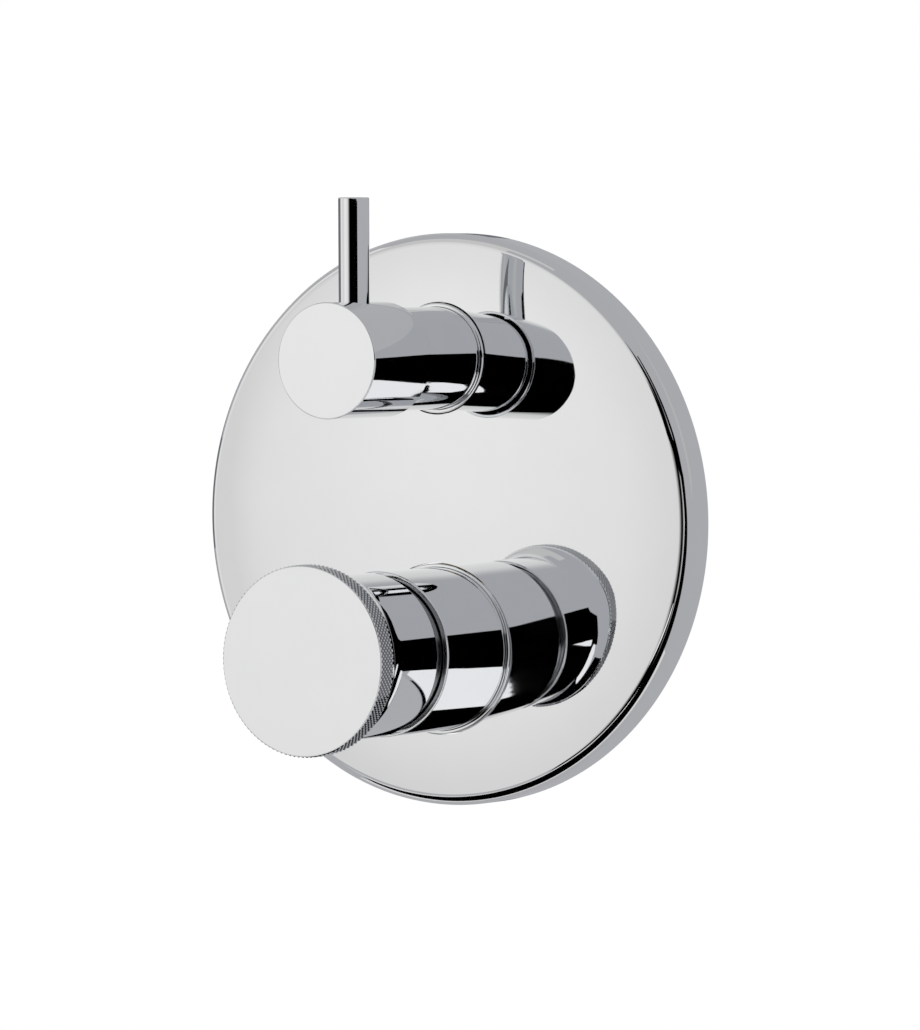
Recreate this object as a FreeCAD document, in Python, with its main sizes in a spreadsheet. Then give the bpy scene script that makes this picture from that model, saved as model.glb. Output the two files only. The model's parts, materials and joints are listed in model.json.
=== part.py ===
import FreeCAD, Part
import math
import os
import Sketcher

# Concealed shower mixer: a round cover plate with a diverter lever above and a mixing knob below,
# on a brass valve body that sits in the wall.
# The origin is the centre of the plate's rear rim, on the face of the wall. X is to the right, Z is up,
# and the wall faces -Y. "Out" is the distance from the wall towards the user, so it is -Y.

doc = FreeCAD.newDocument("concealed_shower_mixer")
sheet = doc.addObject("Spreadsheet::Sheet", "dims")
sheet_rows = []
nodes = []


def value_of(term):
    return term.value if isinstance(term, Size) else term


def text_of(term):
    return term.text if isinstance(term, Size) else repr(term)


class Size:
    """A number of the sheet, or a sum of such numbers: its value and the expression that binds it."""

    def __init__(self, value, text):
        self.value = value
        self.text = text

    def __add__(self, other):
        return Size(self.value + value_of(other), f"({self.text} + {text_of(other)})")

    def __sub__(self, other):
        return Size(self.value - value_of(other), f"({self.text} - {text_of(other)})")

    def __mul__(self, other):
        return Size(self.value * value_of(other), f"({self.text} * {text_of(other)})")

    def __truediv__(self, other):
        return Size(self.value / value_of(other), f"({self.text} / {text_of(other)})")

    def __neg__(self):
        return Size(-self.value, f"(0 - {self.text})")

    def root(self):
        return Size(math.sqrt(self.value), f"sqrt({self.text})")


def size(alias, value, meaning):
    """Write one driving dimension into the sheet, in millimetres or as a count."""
    sheet_rows.append(alias)
    row = len(sheet_rows)
    sheet.set(f"A{row}", meaning)
    sheet.set(f"B{row}", str(value))
    sheet.setAlias(f"B{row}", alias)
    return Size(value, f"dims.{alias}")


# Clearances and the overrun of cuts
turn_clearance = size("turn_clearance", 0.06, "radial clearance of a turning shaft")
seat_clearance = size("seat_clearance", 0.05, "radial clearance of a fixed seat")
film_gap = size("film_gap", 0.02, "water film between the ceramic discs")
rest_gap = size("rest_gap", 0.3, "gap between pieces that lie loosely side by side")
overrun = size("overrun", 1, "how far a cut runs past the face it opens")

# Cover plate
plate_diameter = size("plate_diameter", 170, "outside of the cover plate")
plate_edge = size("plate_edge_depth", 10.7, "depth of the plate's edge, wall to corner")
plate_dome = size("plate_dome_radius", 1330, "radius of the domed front")
plate_shoulder = size("plate_shoulder_radius", 190, "radius of the dome's outer stretch")
shoulder_place = size("plate_shoulder_place", 64, "where that stretch starts, from the centre")
plate_round = size("plate_edge_round", 2.8, "rounding between front and edge")
plate_wall = size("plate_wall", 1.5, "thickness of the pressed sheet")
gasket_width = size("gasket_width", 4, "width of the foam strip behind the rim")
gasket_depth = size("gasket_depth", 5, "depth of the foam strip")
upper_height = size("upper_axis_height", 48, "diverter axis above the plate's centre")
lower_axis_drop = size("lower_axis_drop", 38.2, "mixing axis below the plate's centre")

# Diverter trim, from the wall outwards
upper_sleeve_diameter = size("upper_sleeve_diameter", 30.4, "outside of the fixed upper sleeve")
upper_sleeve_wall = size("upper_sleeve_wall", 1.3, "wall of the upper sleeve")
sleeve_rear = size("sleeve_rear_out", 3, "rear end of both sleeves, out from the wall")
sleeve_thread = size("sleeve_thread_length", 12, "threaded rear stretch of both sleeves")
collar_diameter = size("collar_diameter", 32.8, "outside of the ring round the upper sleeve")
collar_rear = size("collar_rear_out", 5, "rear of the collar ring")
collar_proud = size("collar_proud", 0.9, "how far the collar stands out of the plate")
collar_round = size("collar_round", 0.5, "rounding of the collar's front edge")
hole_clearance = size("plate_hole_clearance", 0.3, "radial gap between the plate's holes and the rings")
oring_section = size("oring_section", 0.9, "section radius of the ring that grips the plate")
handle_diameter = size("handle_diameter", 33.8, "outside of the diverter handle")
handle_rear = size("handle_rear_out", 43.3, "rear rim of the handle")
handle_length = size("handle_length", 29.4, "length of the handle")
handle_wall = size("handle_wall", 0.9, "wall of the handle's cup")
handle_front = size("handle_front_wall", 4, "thickness of the handle's front")
handle_round = size("handle_edge_round", 0.4, "rounding of the handle's front edge")
handle_overlap = size("handle_overlap", 4.7, "length of upper sleeve inside the handle")
handle_hub_diameter = size("handle_hub_diameter", 17, "hub inside the handle")
pin_diameter = size("pin_diameter", 9, "lever pin")
pin_reach = size("pin_reach", 47.2, "top of the pin above the diverter axis")
pin_bevel = size("pin_bevel", 0.4, "bevel round the pin's top")
pin_screw_diameter = size("pin_screw_diameter", 5, "threaded end of the pin")

# Mixing trim, from the wall outwards
lower_sleeve_diameter = size("lower_sleeve_diameter", 48.6, "outside of the fixed lower sleeve")
lower_sleeve_wall = size("lower_sleeve_wall", 1.6, "wall of the lower sleeve")
lower_sleeve_front = size("lower_sleeve_front_out", 46.2, "front rim of the lower sleeve")
lower_sleeve_round = size("lower_sleeve_round", 0.5, "rounding of the lower sleeve's rim")
seal_width = size("lower_seal_width", 1, "width of seal and ring round the lower sleeve")
seal_rear = size("lower_seal_rear_out", 8, "rear of that seal")
lower_ring_rear = size("lower_ring_rear_out", 10, "rear of the ring in front of that seal")
lower_ring_proud = size("lower_ring_proud", 0.8, "how far that ring stands out of the plate")
lower_ring_round = size("lower_ring_round", 0.4, "rounding of that ring's front edge")
knob_groove = size("knob_groove", 5.1, "open groove between lower sleeve and knob")
knob_length = size("knob_length", 35, "length of the knob")
knob_diameter = size("knob_diameter", 55.6, "knurled band of the knob")
knob_band = size("knob_band", 6.4, "width of the knurled band")
knob_bevel = size("knob_bevel", 0.5, "bevels at both edges of the band")
flare_step = size("flare_step", 0.8, "step behind the knurled band")
neck_diameter = size("neck_diameter", 48.2, "neck of the knob")
neck_length = size("neck_length", 18.5, "straight stretch of the neck")
knob_front_wall = size("knob_front_wall", 4.5, "thickness of the knob's front")
knob_cavity_diameter = size("knob_cavity_diameter", 42, "hollow of the knob")
spigot_gap = size("spigot_gap", 0.4, "radial gap between hub spigot and lower sleeve")
spigot_reach = size("spigot_reach", 3.5, "how far the hub reaches into the lower sleeve")
spigot_wall = size("spigot_wall", 3.2, "wall of the hub's spigot")
hub_web = size("hub_web", 7, "thickness of the hub's web")
hub_web_offset = size("hub_web_offset", 0.8, "web behind the start of the knob")
hub_tube_wall = size("hub_tube_wall", 3.4, "wall of the hub's central tube")
set_screw_diameter = size("set_screw_diameter", 4, "set screw of the knob")
set_screw_length = size("set_screw_length", 12, "length of the set screw")

# Chambers and cartridges: both stand on a floor in the valve body, behind the wall's face
floor_depth = size("chamber_floor_depth", 8, "chamber floors, behind the wall's face")
seal_height = size("base_seal_height", 1.5, "seals under the cartridges")
base_height = size("cartridge_base_height", 3.5, "cartridge bases")
fixed_disc = size("fixed_disc_height", 3.6, "fixed ceramic discs")
moving_disc = size("moving_disc_height", 3.6, "moving ceramic discs")
carrier_height = size("carrier_height", 4.8, "driver plates of the stems")
port_count = size("port_count", 3, "ports of each cartridge")
nut_thread = size("nut_thread_length", 4.8, "threaded stretch of the nuts")
nut_head = size("nut_head_length", 5, "hexagon of the nuts")
boss_wall = size("boss_wall", 2.1, "wall of the threaded bosses")

mixing_cartridge_diameter = size("mixing_cartridge_diameter", 35, "mixing cartridge")
mixing_length = size("mixing_housing_length", 18, "housing of the mixing cartridge")
mixing_wall = size("mixing_housing_wall", 3.1, "wall of that housing")
mixing_disc_diameter = size("mixing_disc_diameter", 25, "moving disc and driver plate")
mixing_stem_diameter = size("mixing_stem_diameter", 10, "stem of the mixing cartridge")
mixing_stem_reach = size("mixing_stem_reach", 12, "stem past the retaining nut")
mixing_port_diameter = size("mixing_port_diameter", 6.6, "ports of the mixing cartridge")
mixing_port_circle = size("mixing_port_circle", 17, "circle of those ports")
mixing_nut_step = size("mixing_nut_step", 1.9, "nut thread outside the cartridge")
mixing_nut_bore = size("mixing_nut_bore", 20, "opening of the mixing nut")
mixing_spindle_diameter = size("mixing_spindle_diameter", 12, "extension inside the knob")
mixing_socket_diameter = size("mixing_socket_diameter", 18, "socket of the extension")
mixing_socket_length = size("mixing_socket_length", 19, "length of that socket")

diverter_cartridge_diameter = size("diverter_cartridge_diameter", 22, "diverter cartridge")
diverter_length = size("diverter_housing_length", 16.5, "housing of the diverter cartridge")
diverter_wall = size("diverter_housing_wall", 1.9, "wall of that housing")
diverter_disc_diameter = size("diverter_disc_diameter", 16, "moving disc and driver plate")
diverter_stem_diameter = size("diverter_stem_diameter", 8, "stem of the diverter")
diverter_stem_reach = size("diverter_stem_reach", 11, "stem past the retaining nut")
diverter_port_diameter = size("diverter_port_diameter", 4.4, "ports of the diverter")
diverter_port_circle = size("diverter_port_circle", 11.4, "circle of those ports")
diverter_nut_step = size("diverter_nut_step", 0.9, "nut thread outside the cartridge")
diverter_nut_bore = size("diverter_nut_bore", 12, "opening of the diverter nut")
diverter_spindle_diameter = size("diverter_spindle_diameter", 9, "extension inside the handle")
diverter_socket_diameter = size("diverter_socket_diameter", 13, "socket of the extension")
diverter_socket_length = size("diverter_socket_length", 17, "length of that socket")

# Valve body in the wall
body_depth = size("body_depth", 46, "rear of the valve body behind the wall's face")
chamber_wall = size("chamber_wall", 3, "casting outside the threaded bosses")
chamber_front = size("chamber_front_depth", 4, "front of the thick casting behind the wall's face")
spine_width = size("spine_width", 24, "casting between the two chambers")
spine_front = size("spine_front_depth", 11, "front of that stretch behind the wall's face")
pipe_depth = size("pipe_depth", 30, "pipe axes behind the wall's face")
pipe_socket_diameter = size("pipe_socket_diameter", 26, "outside of the pipe sockets")
pipe_thread_bore = size("pipe_thread_bore", 18.6, "bore of the half-inch pipe threads")
socket_length = size("pipe_thread_length", 14, "length of the pipe threads")
inlet_reach = size("inlet_reach", 42, "inlet mouths from the centre line")
outlet_reach = size("outlet_reach", 73, "outlet mouths above and below the plate's centre")
check_valve_bore = size("check_valve_bore", 15, "bore for the check valves")
valve_length = size("check_valve_length", 12, "length of a check valve")
check_valve_inner_bore = size("check_valve_inner_bore", 9, "waterway of a check valve")
strainer_length = size("strainer_length", 3, "length of a strainer")
strainer_wall = size("strainer_wall", 0.8, "wall and mesh of a strainer")
strainer_hole = size("strainer_hole", 1.6, "holes of a strainer")
strainer_hole_circle = size("strainer_hole_circle", 8.4, "circle of those holes")
strainer_holes = size("strainer_hole_count", 10, "holes of a strainer")
waterway_diameter = size("waterway_diameter", 9, "cored waterways")
passage_inner = size("passage_inner", 6.5, "inner end of the inlet passages")
riser_depth = size("riser_depth", 18, "mixed water riser behind the wall's face")
return_depth = size("return_depth", 35, "waterway to the lower outlet behind the wall's face")
return_bore = size("return_bore", 6.6, "bore of that waterway")
upper_way_bore = size("upper_way_bore", 5.6, "waterway to the upper outlet")
upper_depth = size("upper_way_depth", 27, "that waterway behind the wall's face")
lug_spacing_x = size("lug_spacing_x", 56, "fixing holes, side to side")
lug_spacing_z = size("lug_spacing_z", 56, "fixing holes, top to bottom")
lug_diameter = size("lug_diameter", 14, "ears round the fixing holes")
lug_hole = size("lug_hole", 5.5, "fixing holes")
lug_thickness = size("lug_thickness", 6, "ears and their arms")
lug_arm = size("lug_arm_height", 10, "arms of the ears")

# Radii of the round pieces and bores
plate_radius = plate_diameter / 2
upper_sleeve_radius = upper_sleeve_diameter / 2
collar_radius = collar_diameter / 2
handle_radius = handle_diameter / 2
handle_hub_radius = handle_hub_diameter / 2
pin_radius = pin_diameter / 2
pin_screw_radius = pin_screw_diameter / 2
lower_sleeve_radius = lower_sleeve_diameter / 2
knob_radius = knob_diameter / 2
neck_radius = neck_diameter / 2
knob_cavity_radius = knob_cavity_diameter / 2
set_screw_radius = set_screw_diameter / 2
mixing_radius = mixing_cartridge_diameter / 2
mixing_disc_radius = mixing_disc_diameter / 2
mixing_stem_radius = mixing_stem_diameter / 2
mixing_port_radius = mixing_port_diameter / 2
mixing_port_offset = mixing_port_circle / 2
mixing_nut_opening = mixing_nut_bore / 2
mixing_spindle_radius = mixing_spindle_diameter / 2
mixing_socket_radius = mixing_socket_diameter / 2
diverter_radius = diverter_cartridge_diameter / 2
diverter_disc_radius = diverter_disc_diameter / 2
diverter_stem_radius = diverter_stem_diameter / 2
diverter_port_radius = diverter_port_diameter / 2
diverter_port_offset = diverter_port_circle / 2
diverter_nut_opening = diverter_nut_bore / 2
diverter_spindle_radius = diverter_spindle_diameter / 2
diverter_socket_radius = diverter_socket_diameter / 2
socket_radius = pipe_socket_diameter / 2
socket_bore = pipe_thread_bore / 2
valve_bore = check_valve_bore / 2
valve_inner_bore = check_valve_inner_bore / 2
strainer_hole_radius = strainer_hole / 2
strainer_circle = strainer_hole_circle / 2
waterway = waterway_diameter / 2
return_radius = return_bore / 2
upper_way = upper_way_bore / 2
lug_radius = lug_diameter / 2
lug_hole_radius = lug_hole / 2

# Places worked out from those sizes
lower_height = -lower_axis_drop
dome_height = (plate_dome * plate_dome - shoulder_place * shoulder_place).root()
arc_gap = plate_dome - plate_shoulder
shoulder_centre = shoulder_place * arc_gap / plate_dome
shoulder_lift = dome_height * arc_gap / plate_dome
edge_run = plate_radius - shoulder_centre
edge_lift = (plate_shoulder * plate_shoulder - edge_run * edge_run).root()
plate_apex = plate_edge + plate_dome - shoulder_lift - edge_lift
upper_face = plate_apex - upper_height * upper_height / (plate_dome * 2)
lower_face = plate_apex - lower_height * lower_height / (plate_dome * 2)
floor_out = -floor_depth
base_out = floor_out + seal_height
disc_out = base_out + base_height
moving_out = disc_out + fixed_disc + film_gap
carrier_out = moving_out + moving_disc
carrier_top = carrier_out + carrier_height

mixing_top = disc_out + mixing_length
mixing_nut_radius = mixing_radius + mixing_nut_step
mixing_boss_radius = mixing_nut_radius + boss_wall
mixing_boss_front = mixing_top + nut_thread
mixing_nut_front = mixing_boss_front + nut_head
mixing_stem_front = mixing_nut_front + mixing_stem_reach

diverter_top = disc_out + diverter_length
diverter_nut_radius = diverter_radius + diverter_nut_step
diverter_boss_radius = upper_sleeve_radius - upper_sleeve_wall - rest_gap
diverter_boss_front = diverter_top + nut_thread
diverter_nut_front = diverter_boss_front + nut_head
diverter_stem_front = diverter_nut_front + diverter_stem_reach

handle_front_out = handle_rear + handle_length
pin_out = handle_rear + handle_length / 2
upper_sleeve_front = handle_rear + handle_overlap
knob_rear = lower_sleeve_front + knob_groove
knob_front_out = knob_rear + knob_length
band_rear = knob_front_out - knob_band
flare_end = knob_rear + neck_length
spigot_radius = lower_sleeve_radius - lower_sleeve_wall - spigot_gap
hub_rear = lower_sleeve_front - spigot_reach
web_rear = knob_rear + hub_web_offset
web_front = web_rear + hub_web
knob_cavity_front = knob_front_out - knob_front_wall


def bind(thing, path, term):
    thing.setExpression(path, term.text)


def origin_part(body, role):
    return next(part for part in body.Origin.OriginFeatures if part.Role == role)


def node(thing, label):
    """Name a finished sub-part and put it on the list of pieces to write."""
    thing.Label = label
    nodes.append(thing)
    return thing


def new_body(label, x, out, height, turn):
    """A body whose own Z axis is turned to the axis of the piece."""
    body = doc.addObject("PartDesign::Body", label)
    body.Placement = FreeCAD.Placement(FreeCAD.Vector(), turn)
    bind(body, "Placement.Base.x", x)
    bind(body, "Placement.Base.y", -out)
    bind(body, "Placement.Base.z", height)
    return node(body, label)


OUT = FreeCAD.Rotation(FreeCAD.Vector(1, 0, 0), 90)
UP = FreeCAD.Rotation()
RIGHT = FreeCAD.Rotation(FreeCAD.Vector(0, 1, 0), 90)
LEFT = FreeCAD.Rotation(FreeCAD.Vector(0, 1, 0), -90)
CENTRE = Size(0, "0")


def new_sketch(body, role, name):
    sketch = body.newObject("Sketcher::SketchObject", name)
    sketch.AttachmentSupport = (origin_part(body, role), [""])
    sketch.MapMode = "FlatFace"
    return sketch


def pin_point(sketch, edge, end, place):
    """Fix one end of an edge at its place, measured from the sketch's origin."""
    for axis, kind, term in ((-2, "DistanceX", place[0]), (-1, "DistanceY", place[1])):
        if abs(value_of(term)) < 1e-9:
            sketch.addConstraint(Sketcher.Constraint("PointOnObject", edge, end, axis))
            continue
        row = sketch.addConstraint(Sketcher.Constraint(kind, -1, 1, edge, end, term.value))
        sketch.setExpression(f"Constraints[{row}]", term.text)


def point(place):
    return FreeCAD.Vector(value_of(place[0]), value_of(place[1]), 0)


def arc_through(start, end, radius, side):
    """The arc of this radius from start to end that bulges to the given side."""
    chord = end - start
    middle = (start + end) / 2
    rise = radius - math.sqrt(radius * radius - chord.Length * chord.Length / 4)
    across = FreeCAD.Vector(-chord.y, chord.x, 0) / chord.Length
    return Part.Arc(start, middle + across * rise * side, end)


def draw_outline(sketch, corners):
    """Draw a closed outline. A corner is (x, y), or (x, y, radius, side) where an arc leads on from it."""
    count = len(corners)
    starts = []
    for step, corner in enumerate(corners):
        start = point(corner)
        end = point(corners[(step + 1) % count])
        if len(corner) == 2:
            edge = sketch.addGeometry(Part.LineSegment(start, end), False)
            starts.append((1, 2))
            continue
        edge = sketch.addGeometry(arc_through(start, end, corner[2].value, corner[3]), False)
        from_first = sketch.getPoint(edge, 1).distanceToPoint(start)
        from_second = sketch.getPoint(edge, 2).distanceToPoint(start)
        starts.append((1, 2) if from_first < from_second else (2, 1))
        row = sketch.addConstraint(Sketcher.Constraint("Radius", edge, corner[2].value))
        sketch.setExpression(f"Constraints[{row}]", corner[2].text)
    for step, corner in enumerate(corners):
        following = (step + 1) % count
        joint = Sketcher.Constraint("Coincident", step, starts[step][1], following, starts[following][0])
        sketch.addConstraint(joint)
        pin_point(sketch, step, starts[step][0], corner[:2])


def draw_circle(sketch, x, y, radius):
    circle = sketch.addGeometry(Part.Circle(point((x, y)), FreeCAD.Vector(0, 0, 1), radius.value), False)
    pin_point(sketch, circle, 3, (x, y))
    row = sketch.addConstraint(Sketcher.Constraint("Radius", circle, radius.value))
    sketch.setExpression(f"Constraints[{row}]", radius.text)


def turned(label, height, outline):
    """A piece turned about a line out of the wall; its first corner gives where the piece starts."""
    seat = outline[0][1]
    body = new_body(label, CENTRE, seat, height, OUT)
    turn_profile(body, [(corner[0], corner[1] - seat, *corner[2:]) for corner in outline])
    return body


def turn_profile(body, corners):
    sketch = new_sketch(body, "XZ_Plane", body.Label + "_outline")
    draw_outline(sketch, corners)
    turn = body.newObject("PartDesign::Revolution", body.Label + "_turn")
    turn.Profile = sketch
    turn.ReferenceAxis = (sketch, ["V_Axis"])
    turn.Angle = 360
    body.Tip = turn
    doc.recompute()


def finish_cut(body, cut):
    """Make the cut the body's last feature, and stop if it takes nothing away."""
    before = cut.BaseFeature.Shape.Volume
    body.Tip = cut
    doc.recompute()
    if cut.Shape.Volume >= before:
        raise RuntimeError(cut.Label + " cuts nothing")
    return cut


def bore_along(body, holes, name, depth=None):
    """Bore holes along the body's own axis from its rear, right through or to a depth."""
    sketch = new_sketch(body, "XY_Plane", name + "_holes")
    for x, y, radius in holes:
        draw_circle(sketch, x, y, radius)
    pocket = body.newObject("PartDesign::Pocket", name)
    pocket.Profile = sketch
    pocket.Reversed = True
    pocket.Type = "ThroughAll"
    if depth is not None:
        pocket.Type = "Length"
        bind(pocket, "Length", depth)
    return finish_cut(body, pocket)


def bore_across(body, place, radius, start, depth, downwards, name):
    """Bore a hole straight up or down from this distance above or below the axis of a turned piece."""
    sketch = new_sketch(body, "XZ_Plane", name + "_hole")
    draw_circle(sketch, 0, place, radius)
    bind(sketch, "AttachmentOffset.Base.z", start if downwards else -start)
    pocket = body.newObject("PartDesign::Pocket", name)
    pocket.Profile = sketch
    pocket.Reversed = downwards
    bind(pocket, "Length", depth)
    return finish_cut(body, pocket)


def repeat_round(body, cut, count, name):
    """Repeat a cut evenly round the axis of the body."""
    pattern = body.newObject("PartDesign::PolarPattern", name)
    pattern.Originals = [cut]
    pattern.Axis = (origin_part(body, "Z_Axis"), [""])
    pattern.Angle = 360
    bind(pattern, "Occurrences", count)
    body.Tip = pattern
    doc.recompute()
    return pattern


def round_edge(body, radius, place, rounding, name):
    """Round the circular edge of this radius at this place along the body's own axis."""
    found = []
    for number, edge in enumerate(body.Shape.Edges, 1):
        circle = None if edge.Degenerated else edge.Curve
        if not isinstance(circle, Part.Circle) or abs(circle.Radius - radius.value) > rounding.value / 4:
            continue
        centre = body.Placement.inverse().multVec(circle.Center)
        if abs(centre.z - place.value) < rounding.value / 4:
            found.append(f"Edge{number}")
    base = body.Tip
    fillet = body.newObject("PartDesign::Fillet", name)
    fillet.Base = (base, found)
    bind(fillet, "Radius", rounding)
    body.Tip = fillet
    doc.recompute()


def rod(name, radius, length, x, out, height, turn):
    """A plain cylinder that starts at this place and runs out, up or to the right."""
    cylinder = doc.addObject("Part::Cylinder", name)
    cylinder.Placement = FreeCAD.Placement(FreeCAD.Vector(), turn)
    bind(cylinder, "Radius", radius)
    bind(cylinder, "Height", length)
    place_at(cylinder, x, out, height)
    return cylinder


def block(name, width, depth, tall, x, out, height):
    """A block that starts at its left, front, lower corner."""
    box = doc.addObject("Part::Box", name)
    bind(box, "Length", width)
    bind(box, "Width", depth)
    bind(box, "Height", tall)
    place_at(box, x, out, height)
    return box


def place_at(thing, x, out, height):
    bind(thing, "Placement.Base.x", x)
    bind(thing, "Placement.Base.y", -out)
    bind(thing, "Placement.Base.z", height)


def joined(name, solids):
    fusion = doc.addObject("Part::MultiFuse", name)
    fusion.Shapes = solids
    fusion.Refine = True
    return fusion


def bored(name, solid, tools):
    cut = doc.addObject("Part::Cut", name)
    cut.Base = solid
    cut.Tool = tools[0] if len(tools) == 1 else joined(name + "_bores", tools)
    return cut


def cover_plate():
    """The pressed plate: a shallow dome that curves to a deep rounded edge, open at the rear, and two holes.

    The outer stretch of the dome runs on from its middle without a kink: both arcs have their centres on
    one line through the place where they meet. The inside follows at the thickness of the wall.
    """
    inner_radius = plate_radius - plate_wall
    inner_dome = plate_dome - plate_wall
    inner_shoulder = plate_shoulder - plate_wall
    inner_apex = plate_apex - plate_wall
    dome_centre = plate_apex - plate_dome
    inner_run = inner_radius - shoulder_centre
    inner_lift = (inner_shoulder * inner_shoulder - inner_run * inner_run).root()
    inner_edge = dome_centre + shoulder_lift + inner_lift
    body = new_body("cover_plate", CENTRE, CENTRE, CENTRE, OUT)
    turn_profile(body, [
        (plate_radius, CENTRE),
        (plate_radius, plate_edge, plate_shoulder, -1),
        (shoulder_place, dome_centre + dome_height, plate_dome, -1),
        (CENTRE, plate_apex),
        (CENTRE, inner_apex, inner_dome, 1),
        (shoulder_place * inner_dome / plate_dome, dome_centre + dome_height * inner_dome / plate_dome,
         inner_shoulder, 1),
        (inner_radius, inner_edge),
        (inner_radius, CENTRE),
    ])
    round_edge(body, plate_radius, plate_edge, plate_round, "plate_rounding")
    round_edge(body, inner_radius, inner_edge, plate_round - plate_wall, "plate_inner_rounding")
    bore_along(body, [
        (CENTRE, upper_height, collar_radius + hole_clearance),
        (CENTRE, lower_height, lower_sleeve_radius + seal_width + hole_clearance),
    ], "plate_holes")


def plate_gasket():
    """The foam strip that lies inside the rim and keeps water out of the wall."""
    outer = plate_radius - plate_wall - rest_gap
    turned("plate_gasket", CENTRE, [
        (outer, rest_gap),
        (outer, gasket_depth),
        (outer - gasket_width, gasket_depth),
        (outer - gasket_width, rest_gap),
    ])


def fixed_sleeve(label, height, radius, wall, boss_radius, front):
    """A chromed tube that screws on its boss and covers cartridge and nut."""
    thread_radius = boss_radius + seat_clearance
    return turned(label, height, [
        (thread_radius, sleeve_rear),
        (radius, sleeve_rear),
        (radius, front),
        (radius - wall, front),
        (radius - wall, sleeve_rear + sleeve_thread),
        (thread_radius, sleeve_rear + sleeve_thread),
    ])


def upper_trim():
    """Sleeve, collar ring and gripping ring of the diverter."""
    fixed_sleeve("upper_sleeve", upper_height, upper_sleeve_radius, upper_sleeve_wall,
                 diverter_boss_radius, upper_sleeve_front)
    collar_front = upper_face + collar_proud
    collar = turned("upper_collar_ring", upper_height, [
        (upper_sleeve_radius + seat_clearance, collar_rear),
        (collar_radius, collar_rear),
        (collar_radius, collar_front),
        (upper_sleeve_radius + seat_clearance, collar_front),
    ])
    round_edge(collar, collar_radius, collar_front - collar_rear, collar_round, "collar_rounding")
    ring = doc.addObject("Part::Torus", "upper_plate_seal")
    ring.Placement = FreeCAD.Placement(FreeCAD.Vector(), OUT)
    bind(ring, "Radius1", collar_radius + seat_clearance + oring_section)
    bind(ring, "Radius2", oring_section)
    lowest_face = upper_face - plate_wall - collar_radius * upper_height / plate_dome
    place_at(ring, CENTRE, lowest_face - oring_section - rest_gap, upper_height)
    node(ring, "upper_plate_seal")


def lower_trim():
    """Sleeve, ring and seal of the mixing knob."""
    sleeve = fixed_sleeve("lower_sleeve", lower_height, lower_sleeve_radius, lower_sleeve_wall,
                          mixing_boss_radius, lower_sleeve_front)
    rim = lower_sleeve_front - sleeve_rear
    round_edge(sleeve, lower_sleeve_radius, rim, lower_sleeve_round, "sleeve_rounding")
    inner = lower_sleeve_radius + seat_clearance
    outer = lower_sleeve_radius + seal_width
    ring_front = lower_face + lower_ring_proud
    turned("lower_plate_seal", lower_height, [
        (inner, seal_rear),
        (outer, seal_rear),
        (outer, lower_ring_rear),
        (inner, lower_ring_rear),
    ])
    ring = turned("lower_collar_ring", lower_height, [
        (inner, lower_ring_rear),
        (outer, lower_ring_rear),
        (outer, ring_front),
        (inner, ring_front),
    ])
    round_edge(ring, outer, ring_front - lower_ring_rear, lower_ring_round, "lower_ring_rounding")


def upper_handle():
    """The diverter handle: a cup with a hub inside, and the hole for its lever pin."""
    inner = handle_radius - handle_wall
    hub_rear_out = upper_sleeve_front + rest_gap
    bore = diverter_spindle_radius + seat_clearance
    cup_floor = handle_front_out - handle_front
    handle = turned("upper_handle", upper_height, [
        (inner, handle_rear),
        (handle_radius, handle_rear),
        (handle_radius, handle_front_out),
        (CENTRE, handle_front_out),
        (CENTRE, cup_floor),
        (bore, cup_floor),
        (bore, hub_rear_out),
        (handle_hub_radius, hub_rear_out),
        (handle_hub_radius, cup_floor),
        (inner, cup_floor),
    ])
    round_edge(handle, handle_radius, handle_length, handle_round, "handle_rounding")
    pin_place = pin_out - handle_rear
    hub_top = handle_hub_radius + rest_gap
    bore_across(handle, pin_place, pin_screw_radius + seat_clearance, CENTRE, hub_top, False, "pin_thread")
    bore_across(handle, pin_place, pin_radius + seat_clearance, hub_top, handle_radius, False, "pin_seat")


def lever_pin():
    """The round pin that turns the handle; its threaded end holds the handle on its spindle."""
    foot = handle_hub_radius + rest_gap
    screw_end = diverter_spindle_radius + seat_clearance
    body = new_body("lever_pin", CENTRE, pin_out, upper_height + screw_end, UP)
    turn_profile(body, [
        (CENTRE, CENTRE),
        (pin_screw_radius, CENTRE),
        (pin_screw_radius, foot - screw_end),
        (pin_radius, foot - screw_end),
        (pin_radius, pin_reach - screw_end - pin_bevel),
        (pin_radius - pin_bevel, pin_reach - screw_end),
        (CENTRE, pin_reach - screw_end),
    ])


def mixing_knob():
    """The knob: knurled band, step, flare that runs into the neck, and the hollow for the hub."""
    flare_radius = knob_radius - flare_step
    flare_drop = flare_radius - neck_radius
    flare_run = band_rear - flare_end
    flare_curve = (flare_drop * flare_drop + flare_run * flare_run) / (flare_drop * 2)
    hub_seat = spigot_radius + seat_clearance
    knob = turned("mixing_knob", lower_height, [
        (hub_seat, knob_rear),
        (neck_radius, knob_rear),
        (neck_radius, flare_end, flare_curve, 1),
        (flare_radius, band_rear),
        (knob_radius - knob_bevel, band_rear),
        (knob_radius, band_rear + knob_bevel),
        (knob_radius, knob_front_out - knob_bevel),
        (knob_radius - knob_bevel, knob_front_out),
        (CENTRE, knob_front_out),
        (CENTRE, knob_cavity_front),
        (knob_cavity_radius, knob_cavity_front),
        (knob_cavity_radius, web_front),
        (hub_seat, web_front),
    ])
    screw_place = web_rear + hub_web / 2 - knob_rear
    screw_hole = set_screw_radius + seat_clearance
    bore_across(knob, screw_place, screw_hole, CENTRE, knob_radius, True, "knob_screw_hole")


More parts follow.
